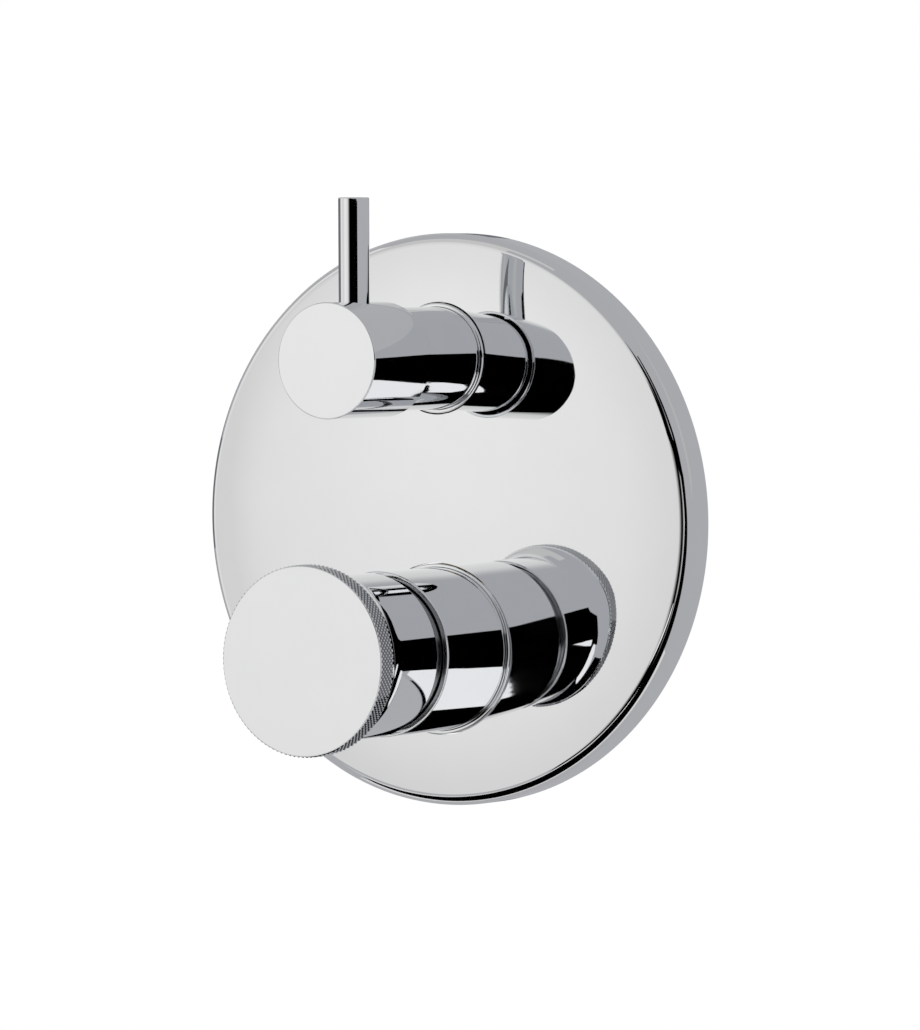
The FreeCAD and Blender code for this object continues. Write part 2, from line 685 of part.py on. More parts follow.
def knob_hub():
    """The hub inside the knob: spigot in the lower sleeve, web, and tube on the spindle."""
    bore = mixing_spindle_radius + seat_clearance
    tube = mixing_spindle_radius + hub_tube_wall
    hub = turned("knob_hub", lower_height, [
        (spigot_radius - spigot_wall, hub_rear),
        (spigot_radius, hub_rear),
        (spigot_radius, web_front),
        (tube, web_front),
        (tube, knob_cavity_front),
        (bore, knob_cavity_front),
        (bore, web_rear),
        (spigot_radius - spigot_wall, web_rear),
    ])
    screw_place = web_rear + hub_web / 2 - hub_rear
    screw_hole = set_screw_radius + seat_clearance
    bore_across(hub, screw_place, screw_hole, CENTRE, knob_radius, True, "hub_screw_hole")
    screw = rod("knob_set_screw", set_screw_radius, set_screw_length, CENTRE, web_rear + hub_web / 2,
                lower_height - mixing_spindle_radius - seat_clearance - set_screw_length, UP)
    node(screw, "knob_set_screw")


def spindle(label, height, socket, socket_rear, socket_length, stem_radius, stem_front, shaft, front):
    """An extension that carries the turn of the knob to the stem of its cartridge."""
    stem_bore = stem_radius + seat_clearance
    turned(label, height, [
        (stem_bore, socket_rear),
        (socket, socket_rear),
        (socket, socket_rear + socket_length),
        (shaft, socket_rear + socket_length),
        (shaft, front),
        (CENTRE, front),
        (CENTRE, stem_front + rest_gap),
        (stem_bore, stem_front + rest_gap),
    ])


def cartridge(kind, height, radius, wall, top, disc_radius, stem_radius, stem_front,
              port_radius, port_offset, first_side):
    """A ceramic cartridge: seal, base, housing, fixed and moving disc, and the stem that drives it.

    Its first port is above the axis where first_side is 1, and below it where first_side is -1.
    """
    first_port = port_offset * first_side
    ports = [(CENTRE, first_port, port_radius)]

    def disc(name, disc_edge, start, end):
        return turned(kind + name, height, [
            (CENTRE, start),
            (disc_edge, start),
            (disc_edge, end),
            (CENTRE, end),
        ])

    for name, disc_edge, start, end in (
        ("_base_seal", radius, floor_out, base_out),
        ("_cartridge_base", radius, base_out, disc_out),
        ("_fixed_disc", radius - wall - rest_gap, disc_out, disc_out + fixed_disc),
    ):
        piece = disc(name, disc_edge, start, end)
        hole = bore_along(piece, ports, kind + name + "_port")
        repeat_round(piece, hole, port_count, kind + name + "_ports")
    moving = disc("_moving_disc", disc_radius, moving_out, carrier_out)
    recess = [(CENTRE, first_port / 2, port_offset)]
    bore_along(moving, recess, kind + "_moving_disc_recess", moving_disc / 2)
    turned(kind + "_stem", height, [
        (CENTRE, carrier_out),
        (disc_radius, carrier_out),
        (disc_radius, carrier_top),
        (stem_radius, carrier_top),
        (stem_radius, stem_front),
        (CENTRE, stem_front),
    ])
    turned(kind + "_cartridge_housing", height, [
        (radius - wall, disc_out),
        (radius, disc_out),
        (radius, top),
        (stem_radius + turn_clearance, top),
        (stem_radius + turn_clearance, carrier_top + rest_gap),
        (radius - wall, carrier_top + rest_gap),
    ])


def retaining_nut(label, height, thread_radius, bore, rear):
    """The brass nut that presses a cartridge on its floor: thread below, hexagon above."""
    thread = rod(label + "_thread", thread_radius, nut_thread, CENTRE, rear, height, OUT)
    head = doc.addObject("Part::Prism", label + "_hexagon")
    head.Polygon = 6
    head.Placement = FreeCAD.Placement(FreeCAD.Vector(), OUT)
    bind(head, "Circumradius", thread_radius)
    bind(head, "Height", nut_head)
    place_at(head, CENTRE, rear + nut_thread, height)
    through = nut_thread + nut_head + overrun * 2
    opening = rod(label + "_opening", bore, through, CENTRE, rear - overrun, height, OUT)
    node(bored(label + "_cut", joined(label + "_blank", [thread, head]), [opening]), label)


def casting():
    """The outside of the valve body: chambers, bosses, spine, pipe sockets and fixing ears."""
    rear = -body_depth
    mixing_chamber = mixing_boss_radius + chamber_wall
    diverter_chamber = diverter_boss_radius + chamber_wall
    thick = body_depth - chamber_front
    solids = [
        rod("mixing_chamber", mixing_chamber, thick, CENTRE, rear, lower_height, OUT),
        rod("mixing_boss", mixing_boss_radius, body_depth + mixing_boss_front,
            CENTRE, rear, lower_height, OUT),
        rod("diverter_chamber", diverter_chamber, thick, CENTRE, rear, upper_height, OUT),
        rod("diverter_boss", diverter_boss_radius, body_depth + diverter_boss_front,
            CENTRE, rear, upper_height, OUT),
        block("spine", spine_width, body_depth - spine_front, upper_height - lower_height,
              -spine_width / 2, -spine_front, lower_height),
        rod("inlet_pipe", socket_radius, inlet_reach * 2, -inlet_reach, -pipe_depth, lower_height, RIGHT),
        rod("upper_outlet_pipe", socket_radius, outlet_reach - upper_height,
            CENTRE, -pipe_depth, upper_height, UP),
        rod("lower_outlet_pipe", socket_radius, outlet_reach + lower_height,
            CENTRE, -pipe_depth, -outlet_reach, UP),
    ]
    for row, height in (("upper", upper_height), ("lower", upper_height - lug_spacing_z)):
        solids.append(block(row + "_lug_arm", lug_spacing_x, lug_thickness, lug_arm,
                            -lug_spacing_x / 2, lug_thickness - body_depth, height - lug_arm / 2))
        for side, x in (("left", -lug_spacing_x / 2), ("right", lug_spacing_x / 2)):
            solids.append(rod(f"{row}_{side}_ear", lug_radius, lug_thickness, x, rear, height, OUT))
    return joined("valve_body_blank", solids)


def chamber_bores(kind, height, radius, top, nut_radius):
    """The seat of a cartridge and the thread of its nut."""
    seat = rod(kind + "_seat", radius + seat_clearance, floor_depth + top, CENTRE, floor_out, height, OUT)
    thread = rod(kind + "_nut_thread", nut_radius + seat_clearance, nut_thread + overrun,
                 CENTRE, top, height, OUT)
    return [seat, thread]


def port_ways(kind, height, first_port, radius, depths):
    """The straight ways from a chamber's floor back to the waterways, one for each port of the base."""
    ways = []
    for number, depth in enumerate(depths):
        angle = math.tau * number / port_count.value
        x = first_port * math.sin(angle)
        rise = first_port * math.cos(angle)
        ways.append(rod(f"{kind}_way_{number}", radius, depth - floor_depth, x, -depth, height + rise, OUT))
    return ways


def waterways():
    """The cored ways: two inlets with check valve seats, the riser, and the ways to both outlets."""
    tools = []
    seat_end = inlet_reach - socket_length
    valve_end = seat_end - strainer_length - valve_length
    for side, far, seat, valve in (
        ("hot", -inlet_reach - overrun, -seat_end - overrun, -valve_end - overrun),
        ("cold", seat_end, valve_end, passage_inner),
    ):
        tools.append(rod(side + "_thread", socket_bore, socket_length + overrun, far, -pipe_depth,
                         lower_height, RIGHT))
        tools.append(rod(side + "_seat", valve_bore, seat_end - valve_end + overrun, seat, -pipe_depth,
                         lower_height, RIGHT))
        tools.append(rod(side + "_way", waterway, valve_end - passage_inner + overrun, valve, -pipe_depth,
                         lower_height, RIGHT))
    thread_start = outlet_reach - socket_length
    mixed_height = lower_height + mixing_port_offset
    side_angle = math.pi / port_count.value
    side_height = upper_height + diverter_port_offset * math.cos(side_angle)
    side_port = diverter_port_offset * math.sin(side_angle)
    riser_top = upper_height - diverter_port_offset
    tools += [
        rod("upper_outlet_thread", socket_bore, socket_length + overrun, CENTRE, -pipe_depth,
            thread_start, UP),
        rod("lower_outlet_thread", socket_bore, socket_length + overrun, CENTRE, -pipe_depth,
            -outlet_reach - overrun, UP),
        rod("riser", waterway, riser_top - mixed_height, CENTRE, -riser_depth, mixed_height, UP),
        rod("upper_way", upper_way, outlet_reach - side_height, side_port, -upper_depth, side_height, UP),
        rod("return_way", return_radius, side_height + return_radius + thread_start, CENTRE, -return_depth,
            -thread_start, UP),
        rod("return_cross", upper_way, side_port, -side_port, -return_depth, side_height, RIGHT),
    ]
    return tools


def valve_body():
    """The brass casting in the wall with its chambers, pipe threads, waterways and fixing holes."""
    tools = chamber_bores("mixing", lower_height, mixing_radius, mixing_top, mixing_nut_radius)
    tools += chamber_bores("diverter", upper_height, diverter_radius, diverter_top, diverter_nut_radius)
    tools += waterways()
    tools += port_ways("mixing", lower_height, mixing_port_offset, mixing_port_radius,
                       (riser_depth, pipe_depth, pipe_depth))
    tools += port_ways("diverter", upper_height, -diverter_port_offset, diverter_port_radius,
                       (riser_depth, return_depth, upper_depth))
    for row, height in (("upper", upper_height), ("lower", upper_height - lug_spacing_z)):
        for side, x in (("left", -lug_spacing_x / 2), ("right", lug_spacing_x / 2)):
            tools.append(rod(f"{row}_{side}_hole", lug_hole_radius, lug_thickness + overrun * 2, x,
                             -body_depth - overrun, height, OUT))
    node(bored("valve_body_cut", casting(), tools), "valve_body")


def inlet_fittings(side, direction, turn):
    """Check valve and strainer of one inlet, in the bore behind its pipe thread."""
    seat_end = inlet_reach - socket_length
    valve_start = seat_end - strainer_length - valve_length
    outside = valve_bore - seat_clearance
    valve = new_body(side + "_check_valve", valve_start * direction, -pipe_depth, lower_height, turn)
    turn_profile(valve, [
        (valve_inner_bore, CENTRE),
        (outside, CENTRE),
        (outside, valve_length),
        (outside - strainer_wall, valve_length),
        (valve_inner_bore, valve_length / 2),
    ])
    start = valve_start + valve_length
    strainer = new_body(side + "_strainer", start * direction, -pipe_depth, lower_height, turn)
    turn_profile(strainer, [
        (CENTRE, CENTRE),
        (outside, CENTRE),
        (outside, strainer_length),
        (outside - strainer_wall, strainer_length),
        (outside - strainer_wall, strainer_wall),
        (CENTRE, strainer_wall),
    ])
    hole = bore_along(strainer, [(CENTRE, strainer_circle, strainer_hole_radius)], side + "_strainer_hole")
    repeat_round(strainer, hole, strainer_holes, side + "_strainer_holes")


def write_parts():
    """Check every object of the document and every piece, then write one file for each piece."""
    doc.recompute()
    for thing in doc.Objects:
        if "Invalid" in thing.State or "Error" in thing.State:
            raise RuntimeError(f"{thing.Label} failed: {thing.State}")
    os.makedirs("parts", exist_ok=True)
    for piece in nodes:
        if piece.Shape.isNull() or not piece.Shape.isValid():
            raise RuntimeError(piece.Label + " has no valid shape")
    for piece in nodes:
        piece.Shape.exportStep(f"parts/{piece.Label}.step")
        print(piece.Label, len(piece.Shape.Solids), "solid", round(piece.Shape.Volume), "mm3")


cover_plate()
plate_gasket()
upper_trim()
lower_trim()
upper_handle()
lever_pin()
mixing_knob()
knob_hub()
spindle("diverter_spindle", upper_height, diverter_socket_radius, diverter_nut_front + overrun,
        diverter_socket_length, diverter_stem_radius, diverter_stem_front, diverter_spindle_radius,
        handle_front_out - handle_front)
spindle("mixing_spindle", lower_height, mixing_socket_radius, mixing_nut_front + overrun,
        mixing_socket_length, mixing_stem_radius, mixing_stem_front, mixing_spindle_radius,
        knob_cavity_front)
cartridge("mixing", lower_height, mixing_radius, mixing_wall, mixing_top, mixing_disc_radius,
          mixing_stem_radius, mixing_stem_front, mixing_port_radius, mixing_port_offset, 1)
cartridge("diverter", upper_height, diverter_radius, diverter_wall, diverter_top, diverter_disc_radius,
          diverter_stem_radius, diverter_stem_front, diverter_port_radius, diverter_port_offset, -1)
retaining_nut("mixing_retaining_nut", lower_height, mixing_nut_radius, mixing_nut_opening, mixing_top)
retaining_nut("diverter_retaining_nut", upper_height, diverter_nut_radius, diverter_nut_opening,
              diverter_top)
valve_body()
inlet_fittings("hot", -1, LEFT)
inlet_fittings("cold", 1, RIGHT)
write_parts()
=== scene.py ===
# %% [markdown]
# # A concealed shower mixer
# The real object is a round chromed plate on a bathroom wall. A small handle with a pin sends the water
# to one of two outlets, and a larger knob with a knurled edge mixes hot and cold. Behind the plate, in
# the wall, sits the brass body that both of them work on.
#
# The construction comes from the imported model, which stays as it is. The chromed pieces are built again
# here with finer rounding, because polished chrome shows every facet, and all pieces get their finish.

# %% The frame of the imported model
import json
import math

import bmesh
import bpy
from mathutils import Matrix, Vector


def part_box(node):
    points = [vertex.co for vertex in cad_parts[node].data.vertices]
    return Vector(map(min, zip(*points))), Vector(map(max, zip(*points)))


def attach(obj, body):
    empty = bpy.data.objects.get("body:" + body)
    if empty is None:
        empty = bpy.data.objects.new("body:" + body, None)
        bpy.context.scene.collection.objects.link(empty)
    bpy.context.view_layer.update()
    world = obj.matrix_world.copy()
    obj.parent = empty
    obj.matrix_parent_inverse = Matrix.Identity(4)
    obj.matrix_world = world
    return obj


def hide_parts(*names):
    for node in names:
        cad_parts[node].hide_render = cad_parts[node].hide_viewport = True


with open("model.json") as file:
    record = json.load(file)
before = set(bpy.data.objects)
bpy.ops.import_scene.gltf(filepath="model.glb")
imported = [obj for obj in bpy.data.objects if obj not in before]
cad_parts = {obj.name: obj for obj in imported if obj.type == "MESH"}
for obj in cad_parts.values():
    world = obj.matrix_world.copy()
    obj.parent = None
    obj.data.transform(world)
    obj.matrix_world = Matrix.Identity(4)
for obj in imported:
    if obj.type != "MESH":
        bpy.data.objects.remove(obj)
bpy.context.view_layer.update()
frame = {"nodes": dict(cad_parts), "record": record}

MM = 0.001

# %% [markdown]
# Every round piece of the mixer stands on one of three lines that point out of the wall: through the
# plate's middle, through the handle above and through the knob below. Reading radius, rear and front
# from the frame keeps the new pieces exactly where the old ones are.

# %% Places read from the frame
OUTWARDS = Matrix.Rotation(math.pi / 2, 4, "X")


def reach(name):
    """Radius of a turned piece, and where it starts and ends, measured out from the wall."""
    low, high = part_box(name)
    return (high.x - low.x) / 2, -high.y, -low.y


def axis_of(name):
    """The place of a turned piece: its own Z axis points out of the wall, at the height of its middle."""
    low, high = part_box(name)
    return Matrix.Translation((0, 0, (low.z + high.z) / 2)) @ OUTWARDS


plate_axis = axis_of("cover_plate")
upper_axis = axis_of("upper_sleeve")
lower_axis = axis_of("lower_sleeve")
axis_heights = [round(axis.translation.z / MM, 1) for axis in (upper_axis, lower_axis)]
print("axes above and below the middle, mm:", axis_heights)

# %% [markdown]
# ## The tools of the lathe
# Most of these pieces are turned: a cutter follows an outline while the work spins. Blender can do the
# same. A few points make the outline, a vertex bevel rounds its corners, and spin sweeps it round.
# A corner is (radius, distance along the axis, rounding).

# %% Turn an outline
ROUND_STEPS = 5
MERGE = 1e-7


def turned(outline, steps):
    """Spin a closed outline of (radius, along, rounding) corners round the Z axis."""
    work = bmesh.new()
    corners = [work.verts.new((radius, 0, along)) for radius, along, rounding in outline]
    for first, second in zip(corners, corners[1:] + corners[:1]):
        if first.co.x > MERGE or second.co.x > MERGE:
            work.edges.new((first, second))
    for corner, (radius, along, rounding) in zip(corners, outline):
        if rounding:
            bmesh.ops.bevel(work, geom=[corner], offset=rounding, segments=ROUND_STEPS, profile=0.5,
                            affect="VERTICES", material=-1)
    bmesh.ops.spin(work, geom=work.verts[:] + work.edges[:], axis=(0, 0, 1), cent=(0, 0, 0),
                   angle=math.tau, steps=steps, use_merge=True)
    bmesh.ops.remove_doubles(work, verts=work.verts, dist=MERGE)
    bmesh.ops.recalc_face_normals(work, faces=work.faces)
    return work


def sagging(start, end, radius, hollow, count):
    """Points between two corners on an arc of this radius, domed or hollow as seen from outside."""
    chord = Vector(end) - Vector(start)
    side = Vector((chord.y, -chord.x)).normalized() * (-1 if hollow else 1)
    drop = math.sqrt(radius ** 2 - chord.length ** 2 / 4)
    centre = (Vector(start) + Vector(end)) / 2 - side * drop
    points = []
    for step in range(1, count):
        point = Vector(start).lerp(Vector(end), step / count) - centre
        points.append((*(centre + point.normalized() * radius), 0))
    return points


# %% [markdown]
# A worked mesh becomes a piece once it has its place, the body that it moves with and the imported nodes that
# it stands for. Turned metal has flats and rounds side by side. Smooth shading alone would smear the light
# over both, so sharp edges are marked and the normals are weighted by the size of the faces.

# %% Put a piece into the scene
SHARP = math.radians(28)


def shade(mesh):
    """Smooth shading with hard edges kept hard."""
    mesh.polygons.foreach_set("use_smooth", [True] * len(mesh.polygons))
    mesh.set_sharp_from_angle(angle=SHARP)


def place_piece(name, work, body, stands_for=(), place=Matrix()):
    """Make an object of the worked mesh, let it ride on its body and stand for its CAD nodes."""
    bmesh.ops.transform(work, matrix=place, verts=work.verts)
    mesh = bpy.data.meshes.new(name)
    work.to_mesh(mesh)
    work.free()
    shade(mesh)
    piece = bpy.data.objects.new(name, mesh)
    bpy.context.scene.collection.objects.link(piece)
    flats = piece.modifiers.new("flat faces stay flat", "WEIGHTED_NORMAL")
    flats.keep_sharp = True
    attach(piece, body)
    if stands_for:
        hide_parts(*stands_for)
    print(name, "rides on", body, "with", len(mesh.polygons), "faces")
    return piece


# %% [markdown]
# Holes are cut with a boolean, as a drill would do it after the lathe. The result is taken over into the
# piece at once, because later cuts and finishes have to find real faces there.

# %% Cut and drill
HOLE_STEPS = 96


def cut_with(piece, cutter_work):
    """Take the cutter's shape away from a piece."""
    cutter_mesh = bpy.data.meshes.new("cutter")
    cutter_work.to_mesh(cutter_mesh)
    cutter_work.free()
    cutter = bpy.data.objects.new("cutter", cutter_mesh)
    bpy.context.scene.collection.objects.link(cutter)
    cut = piece.modifiers.new("cut", "BOOLEAN")
    cut.object = cutter
    cut.solver = "EXACT"
    others = [modifier for modifier in piece.modifiers if modifier != cut]
    for modifier in others:
        modifier.show_viewport = False
    bpy.context.view_layer.update()
    solid = piece.evaluated_get(bpy.context.evaluated_depsgraph_get())
    result = bpy.data.meshes.new_from_object(solid)
    result.name = piece.data.name
    piece.modifiers.remove(cut)
    piece.data = result
    for modifier in others:
        modifier.show_viewport = True
    bpy.data.objects.remove(cutter)
    shade(result)
    print("cut in", piece.name, "leaves", len(result.polygons), "faces")


def drill(piece, start, end, radius, sides=HOLE_STEPS):
    """Cut a hole between two points into a piece, round or with a few flat sides."""
    work = bmesh.new()
    run = Vector(end) - Vector(start)
    turn = Vector((0, 0, 1)).rotation_difference(run).to_matrix().to_4x4()
    middle = Matrix.Translation((Vector(start) + Vector(end)) / 2)
    bmesh.ops.create_cone(work, cap_ends=True, segments=sides, radius1=radius, radius2=radius,
                          depth=run.length, matrix=middle @ turn)
    cut_with(piece, work)


# %% [markdown]
# ## The cover plate
# The plate is pressed from sheet brass, polished and chromed: a very shallow dome that curves more
# towards its deep rounded edge. Its front is a mirror, so both arcs have to be true and meet without a
# kink. The outline goes up the outside, over the dome to the middle, and back along the inside.

# %% Cover plate
plate_radius, plate_rear, plate_apex = reach("cover_plate")
PLATE_DOME = 1330 * MM
PLATE_SHOULDER = 190 * MM
SHOULDER_PLACE = 64 * MM
PLATE_ROUND = 2.8 * MM
PLATE_WALL = 1.5 * MM
PLATE_LIP = 0.3 * MM
PLATE_STEPS = 256
SHOULDER_POINTS = 6
DOME_POINTS = 20


def dome_line(depth):
    """Outline of the front this deep under its surface, from the edge to the middle."""
    dome_centre = Vector((0, plate_apex - PLATE_DOME))
    towards = Vector((SHOULDER_PLACE, math.sqrt(PLATE_DOME ** 2 - SHOULDER_PLACE ** 2))) / PLATE_DOME
    arc_centre = dome_centre + towards * (PLATE_DOME - PLATE_SHOULDER)
    meeting = dome_centre + towards * (PLATE_DOME - depth)
    arc = PLATE_SHOULDER - depth
    rim = plate_radius - depth
    edge = Vector((rim, arc_centre.y + math.sqrt(arc ** 2 - (rim - arc_centre.x) ** 2)))
    middle = Vector((0, plate_apex - depth))
    line = [(*edge, PLATE_ROUND - depth)]
    line += sagging(edge, meeting, arc, False, SHOULDER_POINTS) + [(*meeting, 0)]
    line += sagging(meeting, middle, PLATE_DOME - depth, False, DOME_POINTS) + [(*middle, 0)]
    return line


plate_outline = [(plate_radius, plate_rear, PLATE_LIP)] + dome_line(0)
plate_outline += dome_line(PLATE_WALL)[::-1] + [(plate_radius - PLATE_WALL, plate_rear, PLATE_LIP)]
plate = place_piece("chrome_cover_plate", turned(plate_outline, PLATE_STEPS), "fixed",
                    ["cover_plate"], plate_axis)
print("depth of the plate's edge, mm:", round(dome_line(0)[0][1] / MM, 2))

# %% Holes of the plate
HOLE_GAP = 0.3 * MM
collar_radius, collar_rear, collar_front = reach("upper_collar_ring")
ring_radius, ring_rear, ring_front = reach("lower_collar_ring")
for axis, radius in ((upper_axis, collar_radius + HOLE_GAP), (lower_axis, ring_radius + HOLE_GAP)):
    height = axis.translation.z
    drill(plate, (0, -plate_rear, height), (0, -2 * plate_apex, height), radius)

# %% [markdown]
# ## The upper sleeve and its collar
# The sleeve is a plain chromed tube that covers the diverter's cartridge. A narrow ring stands round its
# foot where it comes out of the plate. Its edge is only slightly rounded, which gives the thin bright
# line that the eye expects of a ring.

# %% Upper sleeve and collar ring
TUBE_STEPS = 192
FINE_ROUND = 0.15 * MM
SLEEVE_THREAD = 12 * MM
UPPER_WALL = 1.3 * MM
COLLAR_ROUND = 0.5 * MM
SEAT = 0.05 * MM
upper_radius, upper_rear, upper_front = reach("upper_sleeve")


def sleeve_outline(radius, rear, front, wall, rim_round):
    """A tube whose rear stretch is thicker, where its thread is."""
    thread_wall = wall + HOLE_GAP
    return [
        (radius - thread_wall, rear, 0),
        (radius, rear, FINE_ROUND),
        (radius, front, rim_round),
        (radius - wall, front, FINE_ROUND),
        (radius - wall, rear + SLEEVE_THREAD, 0),
        (radius - thread_wall, rear + SLEEVE_THREAD, 0),
    ]


upper_sleeve = place_piece(
    "chrome_upper_sleeve",
    turned(sleeve_outline(upper_radius, upper_rear, upper_front, UPPER_WALL, FINE_ROUND), TUBE_STEPS),
    "fixed", ["upper_sleeve"], upper_axis)
collar = place_piece("chrome_collar_ring", turned([
    (upper_radius + SEAT, collar_rear, 0),
    (collar_radius, collar_rear, FINE_ROUND),
    (collar_radius, collar_front, COLLAR_ROUND),
    (upper_radius + SEAT, collar_front, FINE_ROUND),
], TUBE_STEPS), "fixed", ["upper_collar_ring"], upper_axis)

# %% [markdown]
# ## The diverter handle and its pin
# The handle is a turned cup that slides over the end of the sleeve, with a hub inside for the spindle.
# The pin is the part that fingers push: a plain rod with a flat, lightly bevelled top.

# %% Diverter handle
handle_radius, handle_rear, handle_front = reach("upper_handle")
HANDLE_WALL = 0.9 * MM
HANDLE_FRONT_WALL = 4 * MM
HANDLE_ROUND = 0.4 * MM
HUB_RADIUS = 8.5 * MM
SPINDLE_RADIUS = 4.5 * MM
cup_floor = handle_front - HANDLE_FRONT_WALL
hub_rear = upper_front + HOLE_GAP
handle = place_piece("chrome_diverter_handle", turned([
    (handle_radius - HANDLE_WALL, handle_rear, FINE_ROUND),
    (handle_radius, handle_rear, FINE_ROUND),
    (handle_radius, handle_front, HANDLE_ROUND),
    (0, handle_front, 0),
    (0, cup_floor, 0),
    (SPINDLE_RADIUS + SEAT, cup_floor, 0),
    (SPINDLE_RADIUS + SEAT, hub_rear, 0),
    (HUB_RADIUS, hub_rear, FINE_ROUND),
    (HUB_RADIUS, cup_floor, 0),
    (handle_radius - HANDLE_WALL, cup_floor, 0),
], TUBE_STEPS), "diverter", ["upper_handle"], upper_axis)

# %% Lever pin
pin_low, pin_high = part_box("lever_pin")
pin_radius = (pin_high.x - pin_low.x) / 2
PIN_SCREW = 2.5 * MM
PIN_BEVEL = 0.4 * MM
PIN_STEPS = 96
pin_foot = upper_axis.translation.z + HUB_RADIUS + HOLE_GAP
pin_out = (pin_low.y + pin_high.y) / 2
pin = place_piece("chrome_lever_pin", turned([
    (0, pin_low.z, 0),
    (PIN_SCREW, pin_low.z, FINE_ROUND),
    (PIN_SCREW, pin_foot, 0),
    (pin_radius, pin_foot, FINE_ROUND),
    (pin_radius, pin_high.z, PIN_BEVEL),
    (0, pin_high.z, 0),
], PIN_STEPS), "diverter", ["lever_pin"], Matrix.Translation((0, pin_out, 0)))
drill(handle, (0, pin_out, pin_foot), (0, pin_out, pin_high.z), pin_radius + SEAT)

# %% [markdown]
# ## The lower sleeve and its ring
# The lower sleeve is wider and ends in a rounded rim, so a bright line runs round it. A thin chromed
# ring lies round its foot. It hides the rubber seal that keeps water out of the wall.

# %% Lower sleeve and ring
LOWER_WALL = 1.6 * MM
LOWER_ROUND = 0.5 * MM
RING_ROUND = 0.4 * MM
lower_radius, lower_rear, lower_front = reach("lower_sleeve")
lower_sleeve = place_piece(
    "chrome_lower_sleeve",
    turned(sleeve_outline(lower_radius, lower_rear, lower_front, LOWER_WALL, LOWER_ROUND), TUBE_STEPS),
    "fixed", ["lower_sleeve"], lower_axis)
lower_ring = place_piece("chrome_lower_ring", turned([
    (lower_radius + SEAT, ring_rear, 0),
    (ring_radius, ring_rear, FINE_ROUND),
    (ring_radius, ring_front, RING_ROUND),
    (lower_radius + SEAT, ring_front, FINE_ROUND),
], TUBE_STEPS), "fixed", ["lower_collar_ring"], lower_axis)

# %% [markdown]
# ## The mixing knob
# This is the piece that takes most work on the lathe: a flat front, a knurled band for wet fingers, a
# small step, a hollow flare and a straight neck. Knurling is rolled in by two wheels whose grooves
# cross, which leaves rows of small pyramids. A lattice of half a pitch, with a point in the middle of
# each square, holds that shape exactly: the corners are tips and crossings, the middles are grooves.

# %% Knob blank
knob_radius, knob_rear, knob_front = reach("mixing_knob")
KNURL_COUNT = 116
KNURL_DEPTH = 0.42 * MM
KNURL_ROWS = 7
BAND = 6.4 * MM
BAND_BEVEL = 0.5 * MM
FLARE_STEP = 0.8 * MM
NECK_RADIUS = 24.1 * MM
NECK_ROUND = 0.6 * MM
NECK_LENGTH = 18.5 * MM
FLARE_POINTS = 16
KNOB_HOLLOW = 21 * MM
KNOB_FRONT_WALL = 4.5 * MM
hub_radius, hub_start, hub_end = reach("knob_hub")
WEB_FRONT = 7.8 * MM
band_rear = knob_front - BAND
band_start = band_rear + BAND_BEVEL
band_end = knob_front - BAND_BEVEL
flare_radius = knob_radius - FLARE_STEP
flare_start = knob_rear + NECK_LENGTH
flare_drop = flare_radius - NECK_RADIUS
flare_run = band_rear - flare_start
flare_curve = (flare_drop ** 2 + flare_run ** 2) / (2 * flare_drop)
knob_outline = [
    (hub_radius + SEAT, knob_rear, FINE_ROUND),
    (NECK_RADIUS, knob_rear, NECK_ROUND),
    (NECK_RADIUS, flare_start, 0),
    *sagging((NECK_RADIUS, flare_start), (flare_radius, band_rear), flare_curve, True, FLARE_POINTS),
    (flare_radius, band_rear, 0),
    (knob_radius - BAND_BEVEL, band_rear, 0),
]
for row in range(KNURL_ROWS + 1):
    knob_outline.append((knob_radius, band_start + (band_end - band_start) * row / KNURL_ROWS, 0))
knob_outline += [
    (knob_radius - BAND_BEVEL, knob_front, FINE_ROUND),
    (0, knob_front, 0),
    (0, knob_front - KNOB_FRONT_WALL, 0),
    (KNOB_HOLLOW, knob_front - KNOB_FRONT_WALL, 0),
    (KNOB_HOLLOW, knob_rear + WEB_FRONT, 0),
    (hub_radius + SEAT, knob_rear + WEB_FRONT, 0),
]
knob_work = turned(knob_outline, 2 * KNURL_COUNT)
print("knob blank:", len(knob_work.faces), "faces")

# %% Knurl of the knob
EDGE_SLACK = 0.01 * MM


def groove(turns):
    """Height across one V groove: nothing at its bottom, one at the crest halfway to the next."""
    return 1 - abs(2 * (turns % 1) - 1)


def in_band(point):
    """Whether a point lies on the outside of the band that gets the knurl."""
    radius = math.hypot(point.x, point.y)
    return radius > knob_radius - EDGE_SLACK and band_start - EDGE_SLACK < point.z < band_end + EDGE_SLACK


band_faces = [face for face in knob_work.faces if all(in_band(corner.co) for corner in face.verts)]
bmesh.ops.poke(knob_work, faces=band_faces)
crest = knob_work.verts.layers.float.new("crest")
for corner in knob_work.verts:
    corner[crest] = 1.0
    if not in_band(corner.co):
        continue
    round_share = math.atan2(corner.co.y, corner.co.x) / math.tau * KNURL_COUNT
    along_share = (corner.co.z - band_start) / (band_end - band_start) * KNURL_ROWS / 2
    height = min(groove(round_share + along_share), groove(round_share - along_share))
    radius = knob_radius - KNURL_DEPTH * (1 - height)
    corner.co.xy = corner.co.xy.normalized() * radius
    corner[crest] = height
knob = place_piece("chrome_mixing_knob", knob_work, "mixer", ["mixing_knob"], lower_axis)
print("knurl pitch, mm:", round(math.tau * knob_radius / KNURL_COUNT / MM, 2))

# %% [markdown]
# ## The hub and its set screw
# In the groove between knob and sleeve the hub shows as a narrower ring. A set screw under the neck
# clamps the knob on its spindle. It has the usual hexagon socket for a small key.

